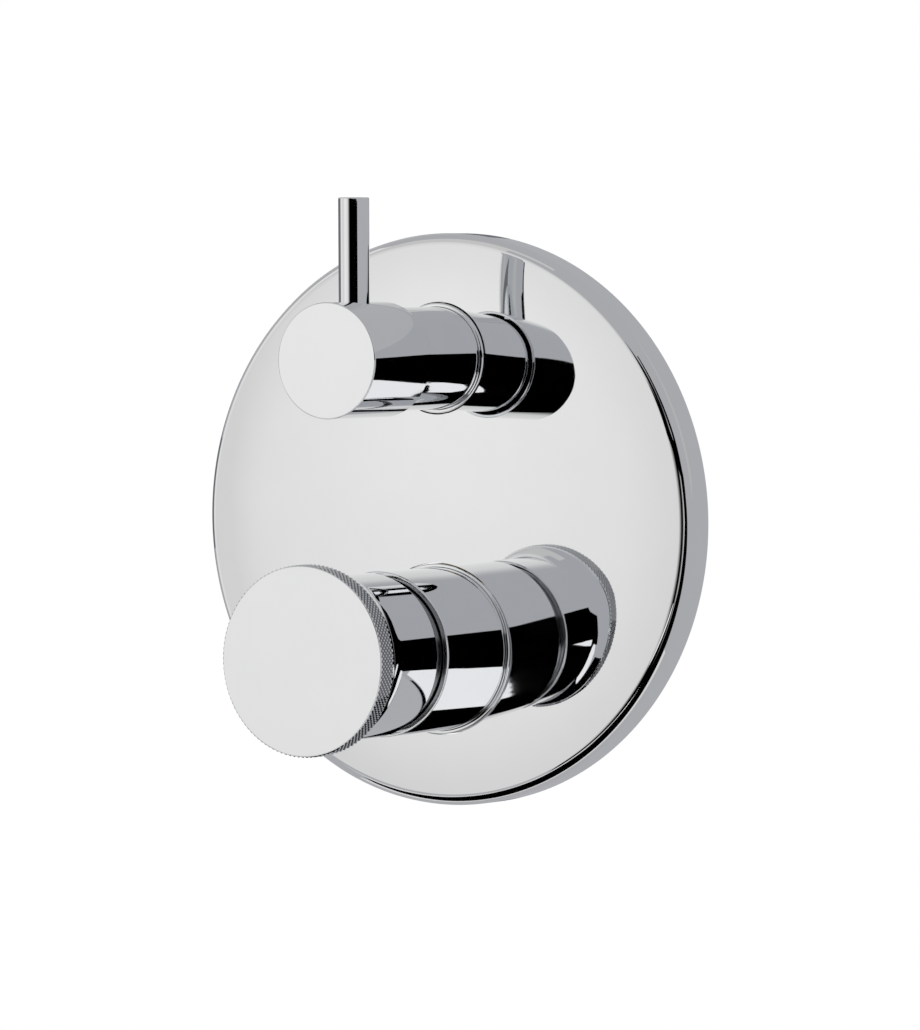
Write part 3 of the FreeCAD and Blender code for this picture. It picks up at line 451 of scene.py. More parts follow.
# %% Knob hub
SPIGOT_WALL = 3.2 * MM
HUB_TUBE = 9.4 * MM
HUB_BORE = 6.05 * MM
WEB_REAR = 0.8 * MM
knob_hub = place_piece("chrome_knob_hub", turned([
    (hub_radius - SPIGOT_WALL, hub_start, FINE_ROUND),
    (hub_radius, hub_start, FINE_ROUND),
    (hub_radius, knob_rear + WEB_FRONT, 0),
    (HUB_TUBE, knob_rear + WEB_FRONT, 0),
    (HUB_TUBE, hub_end, FINE_ROUND),
    (HUB_BORE, hub_end, 0),
    (HUB_BORE, knob_rear + WEB_REAR, 0),
    (hub_radius - SPIGOT_WALL, knob_rear + WEB_REAR, 0),
], TUBE_STEPS), "mixer", ["knob_hub"], lower_axis)

# %% Set screw and its hole
screw_low, screw_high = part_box("knob_set_screw")
screw_radius = (screw_high.x - screw_low.x) / 2
screw_out = (screw_low.y + screw_high.y) / 2
SCREW_STEPS = 48
SOCKET_SIDES = 6
SOCKET_WIDTH = 2 * MM
SOCKET_DEPTH = 2.2 * MM
SCREW_CONE = 0.3 * MM
lower_height = lower_axis.translation.z
drill(knob, (0, screw_out, lower_height - HUB_BORE), (0, screw_out, lower_height - knob_radius),
      screw_radius + SEAT)
screw = place_piece("steel_set_screw", turned([
    (0, screw_low.z, 0),
    (screw_radius, screw_low.z, SCREW_CONE),
    (screw_radius, screw_high.z, SCREW_CONE),
    (0, screw_high.z, 0),
], SCREW_STEPS), "mixer", ["knob_set_screw"], Matrix.Translation((0, screw_out, 0)))
socket_corner = SOCKET_WIDTH / 2 / math.cos(math.pi / SOCKET_SIDES)
drill(screw, (0, screw_out, screw_low.z - SOCKET_DEPTH), (0, screw_out, screw_low.z + SOCKET_DEPTH),
      socket_corner, SOCKET_SIDES)

# %% [markdown]
# ## The valve body
# The body is a brass casting that stays in the wall. Its shape is taken over from the imported model. A merged
# copy of it can be shaded smoothly, with its hard edges kept, while the imported mesh is loose triangles, each
# flat by itself.

# %% Valve body
def merged_copy(name):
    """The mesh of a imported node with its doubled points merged."""
    work = bmesh.new()
    work.from_mesh(frame["nodes"][name].data)
    bmesh.ops.remove_doubles(work, verts=work.verts, dist=MERGE)
    return work


body = place_piece("brass_valve_body", merged_copy("valve_body"), "fixed", ["valve_body"])

# %% [markdown]
# The four ports have a half-inch pipe thread, 14 turns to the inch. A tap cuts it: one V groove that
# winds round the bore. Here a small triangle winds the same way and is then cut out of the brass.

# %% Pipe threads
THREAD_PITCH = 25.4 * MM / 14
THREAD_DEPTH = 1.1 * MM
THREAD_INSIDE = 0.3 * MM
THREAD_SHARE = 0.92
TURN_STEPS = 32
BLIND_TURNS = 2


def thread_groove(radius, length):
    """A V groove that winds round the Z axis, from the origin upwards."""
    work = bmesh.new()
    half = THREAD_PITCH * THREAD_SHARE / 2
    inside = radius - THREAD_INSIDE
    triangle = ((inside, 0, -half), (radius + THREAD_DEPTH, 0, 0), (inside, 0, half))
    corners = [work.verts.new(corner) for corner in triangle]
    for first, second in zip(corners, corners[1:] + corners[:1]):
        work.edges.new((first, second))
    turns = length / THREAD_PITCH
    steps = round(turns * TURN_STEPS)
    bmesh.ops.spin(work, geom=work.verts[:] + work.edges[:], axis=(0, 0, 1), cent=(0, 0, 0),
                   dvec=(0, 0, length / steps), angle=turns * math.tau, steps=steps)
    bmesh.ops.holes_fill(work, edges=[edge for edge in work.edges if edge.is_boundary], sides=3)
    bmesh.ops.recalc_face_normals(work, faces=work.faces)
    return work


ports = [mount for mount in frame["record"]["mounts"] if mount["kind"] == "threaded_hole"]
for port in ports:
    out = Vector(port["axis"])
    length = port["dims"]["length_mm"] * MM
    groove_work = thread_groove(port["dims"]["r_mm"] * MM, length)
    start = Vector(port["pos_m"]) - out * (length / 2 - BLIND_TURNS * THREAD_PITCH)
    turn = Vector((0, 0, 1)).rotation_difference(out).to_matrix().to_4x4()
    bmesh.ops.transform(groove_work, matrix=Matrix.Translation(start) @ turn, verts=groove_work.verts)
    cut_with(body, groove_work)

# %% [markdown]
# Smooth shading smears along faces that are long and thin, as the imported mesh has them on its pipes. So the
# long edges of the casting are halved until they are short. The shape stays the same.

# %% Short faces for the casting
LONG_EDGE = 3 * MM
HALVINGS = 5
body_work = bmesh.new()
body_work.from_mesh(body.data)
bmesh.ops.triangulate(body_work, faces=body_work.faces)
for halving in range(HALVINGS):
    long_edges = [edge for edge in body_work.edges if edge.calc_length() > LONG_EDGE]
    bmesh.ops.subdivide_edges(body_work, edges=long_edges, cuts=1)
    bmesh.ops.triangulate(body_work, faces=body_work.faces)
body_work.to_mesh(body.data)
body_work.free()
shade(body.data)
print("faces of the casting:", len(body.data.polygons))

# %% [markdown]
# ## Finishes
# Each finish starts from what the real surface is. It is a small tree of nodes: patterns with sizes in real
# millimetres feed the colour, the roughness and the relief of one shader. A few helpers keep that short.
# The Mix node has its colour sockets behind those for plain numbers, so they are picked by their number.

# %% Helpers for materials
FIRST_COLOUR = 6
SECOND_COLOUR = 7
MIXED_COLOUR = 2


def colour(text):
    """An sRGB hex colour as linear RGBA."""
    parts = [int(text[place:place + 2], 16) / 255 for place in (1, 3, 5)]
    return [part / 12.92 if part <= 0.04045 else ((part + 0.055) / 1.055) ** 2.4 for part in parts] + [1]


def add(tree, kind, inputs, **settings):
    """Add a node with its settings. An input is given a value, or linked to another node's output."""
    made = tree.nodes.new(kind)
    for name, value in settings.items():
        setattr(made, name, value)
    for name, value in inputs.items():
        if isinstance(value, bpy.types.NodeSocket):
            tree.links.new(value, made.inputs[name])
        else:
            made.inputs[name].default_value = value
    return made


def finish_named(name):
    """A new material with its tree, its shader and the coordinates of the object."""
    material = bpy.data.materials.new(name)
    material.use_nodes = True
    tree = material.node_tree
    place = tree.nodes.new("ShaderNodeTexCoord").outputs["Object"]
    return material, tree, tree.nodes["Principled BSDF"], place


def per_size(size):
    """Texture scale at which one feature of a pattern has this size."""
    return 1 / size


# %% [markdown]
# Chrome is a thin, hard, bluish white metal plated over polished brass: nearly a mirror, with faint waves
# from polishing and faint dull spots from water. The waves are relief, the spots are roughness. Plating that
# was polished less has the same pattern and blurs more, so one function makes every chrome of the mixer.

# %% Polished chrome
WAVE_WIDTH = 9 * MM
WAVE_HEIGHT = 0.0015 * MM
SPOT_WIDTH = 14 * MM
SPOT_START = 0.35
SPOT_END = 0.7
CHROME_LIGHT = "#f3f4f5"
CHROME_DARK = "#eff0f2"
CHROME_SMOOTH = 0.012
CHROME_DULL = 0.03


def polished_chrome(name, light, dark, smooth, dull):
    """Mirror plating: polishing waves of a few millimetres, and water spots that are slightly duller."""
    material, tree, shader, place = finish_named(name)
    wave = add(tree, "ShaderNodeTexNoise", {"Vector": place, "Scale": per_size(WAVE_WIDTH), "Detail": 1.0})
    spots = add(tree, "ShaderNodeTexNoise", {"Vector": place, "Scale": per_size(SPOT_WIDTH), "Detail": 5.0})
    tone = add(tree, "ShaderNodeMix", {"Factor": spots.outputs["Fac"], FIRST_COLOUR: colour(dark),
                                       SECOND_COLOUR: colour(light)}, data_type="RGBA")
    gloss = add(tree, "ShaderNodeMapRange", {"Value": spots.outputs["Fac"], "From Min": SPOT_START,
                                             "From Max": SPOT_END, "To Min": smooth, "To Max": dull})
    bump = add(tree, "ShaderNodeBump", {"Height": wave.outputs["Fac"], "Strength": 1.0,
                                        "Distance": WAVE_HEIGHT})
    tree.links.new(tone.outputs[MIXED_COLOUR], shader.inputs["Base Color"])
    tree.links.new(gloss.outputs["Result"], shader.inputs["Roughness"])
    tree.links.new(bump.outputs["Normal"], shader.inputs["Normal"])
    shader.inputs["Metallic"].default_value = 1.0
    return material


chrome = polished_chrome("polished_chrome_plate", CHROME_LIGHT, CHROME_DARK, CHROME_SMOOTH, CHROME_DULL)
# The hub is plated without much polish, so it shows only soft bands. Its colour is painted dark grey, as the
# shade that falls on it in its groove.
satin_chrome = polished_chrome("satin_chrome_on_brass_painted_shade", "#97989a", "#838486", 0.14, 0.22)
# The inside of the plate is plated too, but nobody polishes it: it is pale and blurs what it mirrors.
plain_chrome = polished_chrome("unpolished_chrome_plate", "#e4e5e6", "#d6d7d9", 0.2, 0.3)
print("finishes:", chrome.name, satin_chrome.name, plain_chrome.name)

# %% [markdown]
# Little light reaches the grooves of a knurl, so they stay dark between bright crests. Here that shade is
# painted:
# the knob's mesh already knows how high each point of the knurl lies, and its finish colours the grooves dark
# from that height.

# %% Knurled chrome, with painted shade in the grooves
# Painted shade: the grooves of the knurl are coloured dark grey, for the shade that falls in them.
GROOVE_COLOUR = "#6c6d70"
GROOVE_END = 0.1
CREST_START = 0.7
knurled_chrome = polished_chrome("knurled_chrome_painted_groove_shade", CHROME_LIGHT, CHROME_DARK, CHROME_SMOOTH,
                                 CHROME_DULL)
tree = knurled_chrome.node_tree
shader = tree.nodes["Principled BSDF"]
polish = shader.inputs["Base Color"].links[0].from_socket
height = add(tree, "ShaderNodeAttribute", {}, attribute_name="crest")
depth = add(tree, "ShaderNodeMapRange", {"Value": height.outputs["Fac"], "From Min": GROOVE_END,
                                         "From Max": CREST_START})
tone = add(tree, "ShaderNodeMix", {"Factor": depth.outputs["Result"], FIRST_COLOUR: colour(GROOVE_COLOUR),
                                   SECOND_COLOUR: polish}, data_type="RGBA")
tree.links.new(tone.outputs[MIXED_COLOUR], shader.inputs["Base Color"])
print("finish:", knurled_chrome.name)

# %% [markdown]
# Cast, moulded, lapped and pickled surfaces have one thing in common: a grain, whose size says how they were
# made. So one noise of that size moves tone, gloss and relief together, and each finish is one line.

# %% Grained finishes
GRAIN_START = 0.3
GRAIN_END = 0.7


def grained(name, light, dark, grain, gloss, relief, metal=0.0):
    """A finish whose tone, gloss and relief all vary with one grain size."""
    material, tree, shader, place = finish_named(name)
    noise = add(tree, "ShaderNodeTexNoise", {"Vector": place, "Scale": per_size(grain), "Detail": 6.0})
    tone = add(tree, "ShaderNodeMix", {"Factor": noise.outputs["Fac"], FIRST_COLOUR: colour(dark),
                                       SECOND_COLOUR: colour(light)}, data_type="RGBA")
    shine = add(tree, "ShaderNodeMapRange", {"Value": noise.outputs["Fac"], "From Min": GRAIN_START,
                                             "From Max": GRAIN_END, "To Min": gloss[0], "To Max": gloss[1]})
    bump = add(tree, "ShaderNodeBump", {"Height": noise.outputs["Fac"], "Distance": relief})
    tree.links.new(tone.outputs[MIXED_COLOUR], shader.inputs["Base Color"])
    tree.links.new(shine.outputs["Result"], shader.inputs["Roughness"])
    tree.links.new(bump.outputs["Normal"], shader.inputs["Normal"])
    shader.inputs["Metallic"].default_value = metal
    return material


# Sand leaves a dull, slightly pitted skin on cast brass.
cast_brass = grained("sand_cast_brass", "#dcc08a", "#b9965a", 1.2 * MM, (0.34, 0.5), 0.09 * MM, 1.0)
# Moulded rubber is nearly black, with a soft sheen that comes and goes.
rubber = grained("moulded_black_rubber", "#262728", "#161617", 0.8 * MM, (0.38, 0.55), 0.01 * MM)
# Acetal is milky and takes the fine grain of its mould. Dyed blue, it has the same soft gloss.
acetal = grained("white_acetal_plastic", "#e9e6dc", "#dcd8cb", 2.5 * MM, (0.3, 0.42), 0.01 * MM)
blue_acetal = grained("blue_acetal_plastic", "#2b4a98", "#203a80", 2.5 * MM, (0.3, 0.42), 0.01 * MM)
# Lapped ceramic is dense and shines evenly.
ceramic = grained("lapped_white_ceramic", "#f4f2ec", "#e8e6df", 0.6 * MM, (0.1, 0.16), 0.002 * MM)
# Pickled steel is grey and a little uneven.
steel = grained("pickled_stainless_steel", "#c3c5c6", "#aaacae", 1.0 * MM, (0.25, 0.36), 0.01 * MM, 1.0)
for finish in (cast_brass, rubber, acetal, blue_acetal, ceramic, steel):
    print("grained finish:", finish.name)

# %% [markdown]
# Two finishes have a pattern of their own. A lathe tool leaves fine rings, so a turned face glints in narrow
# lines: a wave texture draws them. Foam is cut through its bubbles, so its face is a field of small pits: a
# cell texture draws those, and paints each pit darker, as painted shade in it.

# %% Turned brass
RING_WIDTH = 0.35 * MM
RING_DEPTH = 0.01 * MM
TARNISH_WIDTH = 5 * MM
TURNED_ROUGHNESS = 0.26


def ring_scale(width):
    """Scale at which the wave texture repeats once per this width."""
    return math.tau / (20 * width)


turned_brass, tree, shader, place = finish_named("turned_brass")
rings = add(tree, "ShaderNodeTexWave", {"Vector": place, "Scale": ring_scale(RING_WIDTH), "Distortion": 0.4},
            bands_direction="Y")
tarnish = add(tree, "ShaderNodeTexNoise", {"Vector": place, "Scale": per_size(TARNISH_WIDTH), "Detail": 4.0})
tone = add(tree, "ShaderNodeMix", {"Factor": tarnish.outputs["Fac"], FIRST_COLOUR: colour("#c29b52"),
                                   SECOND_COLOUR: colour("#dcb970")}, data_type="RGBA")
bump = add(tree, "ShaderNodeBump", {"Height": rings.outputs["Fac"], "Distance": RING_DEPTH})
tree.links.new(tone.outputs[MIXED_COLOUR], shader.inputs["Base Color"])
tree.links.new(bump.outputs["Normal"], shader.inputs["Normal"])
shader.inputs["Metallic"].default_value = 1.0
shader.inputs["Roughness"].default_value = TURNED_ROUGHNESS
print("finish:", turned_brass.name)

# %% Foam, with painted shade in its pits
CELL_WIDTH = 0.9 * MM
PIT_DEPTH = 0.25 * MM
FOAM_ROUGHNESS = 0.9
foam, tree, shader, place = finish_named("grey_closed_cell_foam")
cells = add(tree, "ShaderNodeTexVoronoi", {"Vector": place, "Scale": per_size(CELL_WIDTH)})
# Painted shade: each pit is coloured darker grey towards its deepest middle. The cell pattern itself is the
# foam's own.
tone = add(tree, "ShaderNodeMix", {"Factor": cells.outputs["Distance"], FIRST_COLOUR: colour("#55585a"),
                                   SECOND_COLOUR: colour("#7d8082")}, data_type="RGBA")
bump = add(tree, "ShaderNodeBump", {"Height": cells.outputs["Distance"], "Distance": PIT_DEPTH})
tree.links.new(tone.outputs[MIXED_COLOUR], shader.inputs["Base Color"])
tree.links.new(bump.outputs["Normal"], shader.inputs["Normal"])
shader.inputs["Roughness"].default_value = FOAM_ROUGHNESS
print("finish:", foam.name)

# %% [markdown]
# ## Dressing the pieces
# Every piece gets its finish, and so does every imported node, also where a new piece stands for it. Two pieces
# carry a second finish, and each of their faces has a number that says which one it wears.

# %% Finishes of the new pieces
def dress(piece, *materials):
    """Put these finishes on a piece. Its faces wear the first of them until they are told otherwise."""
    piece.data.materials.clear()
    for material in materials:
        piece.data.materials.append(material)


for piece in (upper_sleeve, collar, handle, pin, lower_sleeve, lower_ring):
    dress(piece, chrome)
dress(plate, chrome, plain_chrome)
dress(knob, knurled_chrome)
dress(knob_hub, satin_chrome)
dress(screw, steel)
dress(body, cast_brass, turned_brass)
print("the plate wears", [material.name for material in plate.data.materials])

# %% Inside of the plate
FACING = 0.5
for face in plate.data.polygons:
    across, out, up = face.center
    within = math.hypot(across, up) < plate_radius - PLATE_WALL / 2
    outwards = face.normal.x * across + face.normal.z * up
    turned_in = face.normal.y > FACING or (face.normal.y > -FACING and outwards < 0)
    face.material_index = int(within and turned_in)
print("unpolished faces of the plate:", sum(face.material_index for face in plate.data.polygons))

# %% [markdown]
# A casting is machined where something seals or screws on. So the flat mouths of the four ports and their
# threads show bright turned metal instead of the sandy skin.

# %% Machined ports of the casting
PORT_WALL = 4.5 * MM
SQUARE_TO_PORT = 0.9
for port in ports:
    out = Vector(port["axis"])
    bore = port["dims"]["r_mm"] * MM
    near = []
    for face in body.data.polygons:
        offset = face.center - Vector(port["pos_m"])
        along = offset.dot(out)
        aside = (offset - along * out).length
        if along > 0 and aside < bore + PORT_WALL:
            near.append((face, along, aside))
    mouth = max(along for face, along, aside in near)
    for face, along, aside in near:
        at_mouth = along > mouth - SEAT and face.normal.dot(out) > SQUARE_TO_PORT
        face.material_index = int(aside < bore + THREAD_DEPTH or at_mouth)
    print(port["name"], "has", sum(face.material_index for face, along, aside in near), "machined faces")

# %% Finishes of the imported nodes
for material, names in (
    (chrome, ["cover_plate", "upper_sleeve", "upper_collar_ring", "upper_handle", "lever_pin", "lower_sleeve",
              "lower_collar_ring", "mixing_knob"]),
    (satin_chrome, ["knob_hub"]),
    (cast_brass, ["valve_body"]),
    (turned_brass, ["mixing_retaining_nut", "diverter_retaining_nut", "mixing_spindle", "diverter_spindle",
                    "mixing_stem", "diverter_stem"]),
    (rubber, ["upper_plate_seal", "lower_plate_seal", "mixing_base_seal", "diverter_base_seal"]),
    (foam, ["plate_gasket"]),
    (acetal, ["mixing_cartridge_base", "mixing_cartridge_housing", "diverter_cartridge_base",
              "diverter_cartridge_housing"]),
    (blue_acetal, ["hot_check_valve", "cold_check_valve"]),
    (ceramic, ["mixing_fixed_disc", "mixing_moving_disc", "diverter_fixed_disc", "diverter_moving_disc"]),
    (steel, ["knob_set_screw", "hot_strainer", "cold_strainer"]),
):
    for name in names:
        dress(frame["nodes"][name], material)
print("dressed", len(frame["nodes"]), "nodes")

# %% [markdown]
# ## The studio
# Chrome has no look of its own: it shows the room. Here that is what a photographer of chrome sets up:
# a large pale panel on the left that the plate and the flat fronts mirror, a mid grey room, a white
# card low on the right and black cloth round the camera, which gives the knobs their dark bands. These
# sheets show only in reflections. What isn't metal is lit by the world alone, softly and from all sides.

# %% World: white behind the object, grey in its reflections
ROOM_LIGHT = "#e6e6e6"
ROOM_GREY = "#b0b1b4"
scene = bpy.context.scene
scene.view_settings.view_transform = "Standard"
world = bpy.data.worlds.new("studio")
scene.world = world
world.use_nodes = True
tree = world.node_tree
rays = add(tree, "ShaderNodeLightPath", {})
room = add(tree, "ShaderNodeMix", {"Factor": rays.outputs["Is Glossy Ray"], FIRST_COLOUR: colour(ROOM_LIGHT),
                                   SECOND_COLOUR: colour(ROOM_GREY)}, data_type="RGBA")
seen = add(tree, "ShaderNodeMix", {"Factor": rays.outputs["Is Camera Ray"],
                                   FIRST_COLOUR: room.outputs[MIXED_COLOUR],
                                   SECOND_COLOUR: colour("#ffffff")}, data_type="RGBA")
tree.links.new(seen.outputs[MIXED_COLOUR], tree.nodes["Background"].inputs["Color"])
print("world:", world.name)

# %% Sheets of the stage
STAGE_OUT = 2.4


def stage_sheet(name, corners, material, shows_camera=False):
    """A flat stage piece through these corners. Panels and cloths show only in reflections."""
    work = bmesh.new()
    work.faces.new([work.verts.new(corner) for corner in corners])
    mesh = bpy.data.meshes.new(name)
    work.to_mesh(mesh)
    work.free()
    sheet = bpy.data.objects.new(name, mesh)
    scene.collection.objects.link(sheet)
    dress(sheet, material)
    sheet.visible_camera = shows_camera
    sheet.visible_diffuse = shows_camera
    sheet.visible_shadow = shows_camera
    print("stage:", name)
    return sheet


def hung(outline, further=0.0):
    """Corners of a sheet that hangs in front of the mixer. Its outline is seen from the mixer, as slopes."""
    out = STAGE_OUT + further
    return [(across * out, -out, up * out) for across, up in outline]


def oblong(first, second):
    """Corners of an upright or level rectangle between two opposite corners."""
    left, near, low = first
    right, far, high = second
    if low == high:
        return [(left, near, low), (right, near, low), (right, far, low), (left, far, low)]
    return [(left, near, low), (right, far, low), (right, far, high), (left, near, high)]


def glowing(name, tint, strength):
    """A plain glowing material, also used at strength nothing for black cloth."""
    material = bpy.data.materials.new(name)
    material.use_nodes = True
    tree = material.node_tree
    tree.nodes.remove(tree.nodes["Principled BSDF"])
    glow = add(tree, "ShaderNodeEmission", {"Color": colour(tint), "Strength": strength})
    tree.links.new(glow.outputs[0], tree.nodes["Material Output"].inputs["Surface"])
    return material, tree, glow


# %% [markdown]
# The floor is a wide pale sheet, far below because the mixer hangs on a wall. It fades to white towards its
# edges, so that no line shows where it ends. Chrome doesn't mirror it, only the sheets that come next.

# %% Floor
FLOOR_HEIGHT = -3.0
FLOOR_HALF = 9.0
FLOOR_ROUGHNESS = 0.8
floor_finish, tree, shader, place = finish_named("pale_studio_floor")
shader.inputs["Base Color"].default_value = colour("#f0f0ee")
shader.inputs["Roughness"].default_value = FLOOR_ROUGHNESS
far_off = add(tree, "ShaderNodeVectorMath", {0: place}, operation="LENGTH")
fade = add(tree, "ShaderNodeMapRange", {"Value": far_off.outputs["Value"], "From Min": FLOOR_HALF / 2,
                                        "From Max": FLOOR_HALF}, interpolation_type="SMOOTHSTEP")
white = add(tree, "ShaderNodeEmission", {"Color": colour("#ffffff")})
both = add(tree, "ShaderNodeMixShader", {"Fac": fade.outputs["Result"], 1: shader.outputs[0],
                                         2: white.outputs[0]})
tree.links.new(both.outputs[0], tree.nodes["Material Output"].inputs["Surface"])
floor = stage_sheet("floor", oblong((-FLOOR_HALF, -FLOOR_HALF, FLOOR_HEIGHT),
                                    (FLOOR_HALF, FLOOR_HALF, FLOOR_HEIGHT)), floor_finish, True)
floor.visible_glossy = False

# %% [markdown]
# The plate is seen from the right, so it mirrors what hangs on the left: one large panel. It is brightest in
# its middle, as a cloth with a lamp behind it is, and it fades out to the right, lower and upper corners
# first. That gives the plate its soft shading. Sheets are outlined in slopes: how far across and up a line
# from the mixer has gone for each metre that it has come out from the wall.

# %% Pale panel on the left
PANEL_LEFT = -1.8
PANEL_RIGHT = 0.06
PANEL_LOW = -0.46
PANEL_HIGH = 0.65
PANEL_TINT = "#f1f1ef"
PANEL_STRENGTH = 1.01
PANEL_EDGE_STRENGTH = 0.81
PANEL_MIDDLE = Vector((-0.64, -1, 0.06)) * STAGE_OUT
BRIGHT_REACH = 0.05 * STAGE_OUT
DIM_REACH = 0.5 * STAGE_OUT
panel_glow, tree, light = glowing("pale_panel", PANEL_TINT, PANEL_STRENGTH)
place = add(tree, "ShaderNodeTexCoord", {}).outputs["Object"]
far_off = add(tree, "ShaderNodeVectorMath", {0: place, 1: PANEL_MIDDLE}, operation="DISTANCE")
soft = add(tree, "ShaderNodeMapRange", {"Value": far_off.outputs["Value"], "From Min": BRIGHT_REACH,
                                        "From Max": DIM_REACH, "To Min": PANEL_STRENGTH,
                                        "To Max": PANEL_EDGE_STRENGTH})
tree.links.new(soft.outputs["Result"], light.inputs["Strength"])
print("panel brightness, from the middle outwards:", PANEL_STRENGTH, PANEL_EDGE_STRENGTH)

# %% The panel fades out to the right
FADE_WIDTH = 0.32 * STAGE_OUT
FADE_LEAN = 0.35 * STAGE_OUT
LEAN_START = 0.25 * STAGE_OUT
LEAN_END = 0.6 * STAGE_OUT
split = add(tree, "ShaderNodeSeparateXYZ", {0: place})
aloft = add(tree, "ShaderNodeMath", {0: split.outputs["Z"]}, operation="ABSOLUTE")
lean = add(tree, "ShaderNodeMapRange", {"Value": aloft.outputs[0], "From Min": LEAN_START,
                                        "From Max": LEAN_END, "To Max": FADE_LEAN})
leaning = add(tree, "ShaderNodeMath", {0: split.outputs["X"], 1: lean.outputs["Result"]})
fade = add(tree, "ShaderNodeMapRange", {"Value": leaning.outputs[0],
                                        "From Min": PANEL_RIGHT * STAGE_OUT - FADE_WIDTH,
                                        "From Max": PANEL_RIGHT * STAGE_OUT, "To Min": 1.0, "To Max": 0.0},
           interpolation_type="SMOOTHSTEP")
clear = add(tree, "ShaderNodeBsdfTransparent", {})
both = add(tree, "ShaderNodeMixShader", {"Fac": fade.outputs["Result"], 1: clear.outputs[0],
                                         2: light.outputs[0]})
tree.links.new(both.outputs[0], tree.nodes["Material Output"].inputs["Surface"])
stage_sheet("pale_panel", oblong(*hung([(PANEL_LEFT, PANEL_LOW), (PANEL_RIGHT, PANEL_HIGH)])), panel_glow)

# %% Panels beside, above and behind
SIDE_STRENGTH = 0.9
SIDE_BACK = -0.6
SIDE_HIGH = 4.0
HIGH_STRENGTH = 0.68
HIGH_END = 2.0
BACK_STRENGTH = 0.56
BACK_OUT = -1.6
side_x = PANEL_LEFT * STAGE_OUT
stage_sheet("pale_side_panel", oblong((side_x, -STAGE_OUT, PANEL_LOW * STAGE_OUT),
                                      (side_x, SIDE_BACK, SIDE_HIGH)),
            glowing("pale_side_panel", PANEL_TINT, SIDE_STRENGTH)[0])
stage_sheet("pale_high_panel", hung([(PANEL_LEFT, PANEL_HIGH), (-0.5, PANEL_HIGH), (-0.5, 1.1), (-0.2, 1.15),
                                     (-0.1, HIGH_END), (PANEL_LEFT, HIGH_END)]),
            glowing("pale_high_panel", PANEL_TINT, HIGH_STRENGTH)[0])
back_glow = glowing("pale_back_panel", PANEL_TINT, BACK_STRENGTH)[0]
for name, outline in (
    ("pale_back_left", [(0.9, 0.3), (2.5, 0.3), (2.5, 1.7), (0.9, 1.7)]),
    ("pale_back_right", [(-0.8, 0.2), (-2.5, 0.2), (-2.5, 1.7), (-0.8, 1.7)]),
):
    stage_sheet(name, [(across * BACK_OUT, -BACK_OUT, -up * BACK_OUT) for across, up in outline], back_glow)

# %% [markdown]
# The knobs mirror the room by way of the plate, in rings of steep slopes. A white card low on the right draws
# the bright stripe along their undersides. Its upper edge bends, because the ring of the upper handle is
# narrower than that of the lower sleeve. A narrow strip close by carries the stripe on to the sleeve's foot.

# %% White card
CARD_STRENGTH = 0.98
STRIP_OUT = 0.25
card_top = [(0.97, -0.5), (0.72, -0.385), (0.6, -0.4), (0.5, -0.44), (0.44, -0.457), (0.38, -0.492),
            (0.3, -0.545), (0.2, -0.588), (0.1, -0.614), (0.0, -0.622)]
card_left = [(0.02, -0.77), (0.06, -0.95), (0.1, -1.15)]
card_right = [(0.4, -1.15), (0.75, -0.95), (0.97, -0.75)]
# The strip is near, so its corners are plain millimetres across and up instead of slopes.
strip = [(34, -105), (46, -96), (90, -81), (113, -81), (120, -85), (107, -95), (76, -108), (43, -117)]
white_glow = glowing("white_card", "#ffffff", CARD_STRENGTH)[0]
stage_sheet("white_card", hung(card_top + card_left + card_right), white_glow)
stage_sheet("white_card_strip", [(across * MM, -STRIP_OUT, up * MM) for across, up in strip], white_glow)

# %% [markdown]
# Black cloth round the camera gives the knobs their dark bands. Flat fronts would turn black too, for anyone
# who looks from the left or from above. So the cloth asks how often the light has been mirrored: it is black
# for what comes by way of a second surface, and pale for what looks at it directly.

# %% Black cloths
BEHIND = 0.04
ONCE_OR_TWICE = 1.5
PALE_START = 0.2 * STAGE_OUT
PALE_END = 0.5 * STAGE_OUT
FLOOR_CLOTH_HEIGHT = -2.7
FLOOR_CLOTH_LEFT = -3.2
FLOOR_CLOTH_RIGHT = 3.0
FLOOR_CLOTH_BACK = 0.05


def mirrored_once(tree):
    """1 for what a surface mirrors directly, 0 for what it mirrors by way of another surface."""
    rays = add(tree, "ShaderNodeLightPath", {})
    count = rays.outputs["Ray Depth"]
    return add(tree, "ShaderNodeMath", {0: count, 1: ONCE_OR_TWICE}, operation="LESS_THAN").outputs[0]


right_cloth, tree, light = glowing("black_right_cloth", PANEL_TINT, 0.0)
place = add(tree, "ShaderNodeTexCoord", {}).outputs["Object"]
split = add(tree, "ShaderNodeSeparateXYZ", {0: place})
pale = add(tree, "ShaderNodeMapRange", {"Value": split.outputs["X"], "From Min": PALE_START,
                                        "From Max": PALE_END, "To Max": PANEL_EDGE_STRENGTH},
           interpolation_type="SMOOTHSTEP")
once = add(tree, "ShaderNodeMath", {0: mirrored_once(tree), 1: pale.outputs["Result"]}, operation="MULTIPLY")
tree.links.new(once.outputs[0], light.inputs["Strength"])
cloth_round = [(1.2, -0.6), (1.2, 0.25), (0.75, 0.22), (0.55, 0.2), (0.42, 0.25), (0.3, 0.38), (0.15, 0.45),
               (-0.05, 0.42), (-0.1, 0.16), (-0.4, 0.14), (-0.4, -0.6)]
stage_sheet("black_cloth", hung(card_top[::-1] + cloth_round, BEHIND), right_cloth)

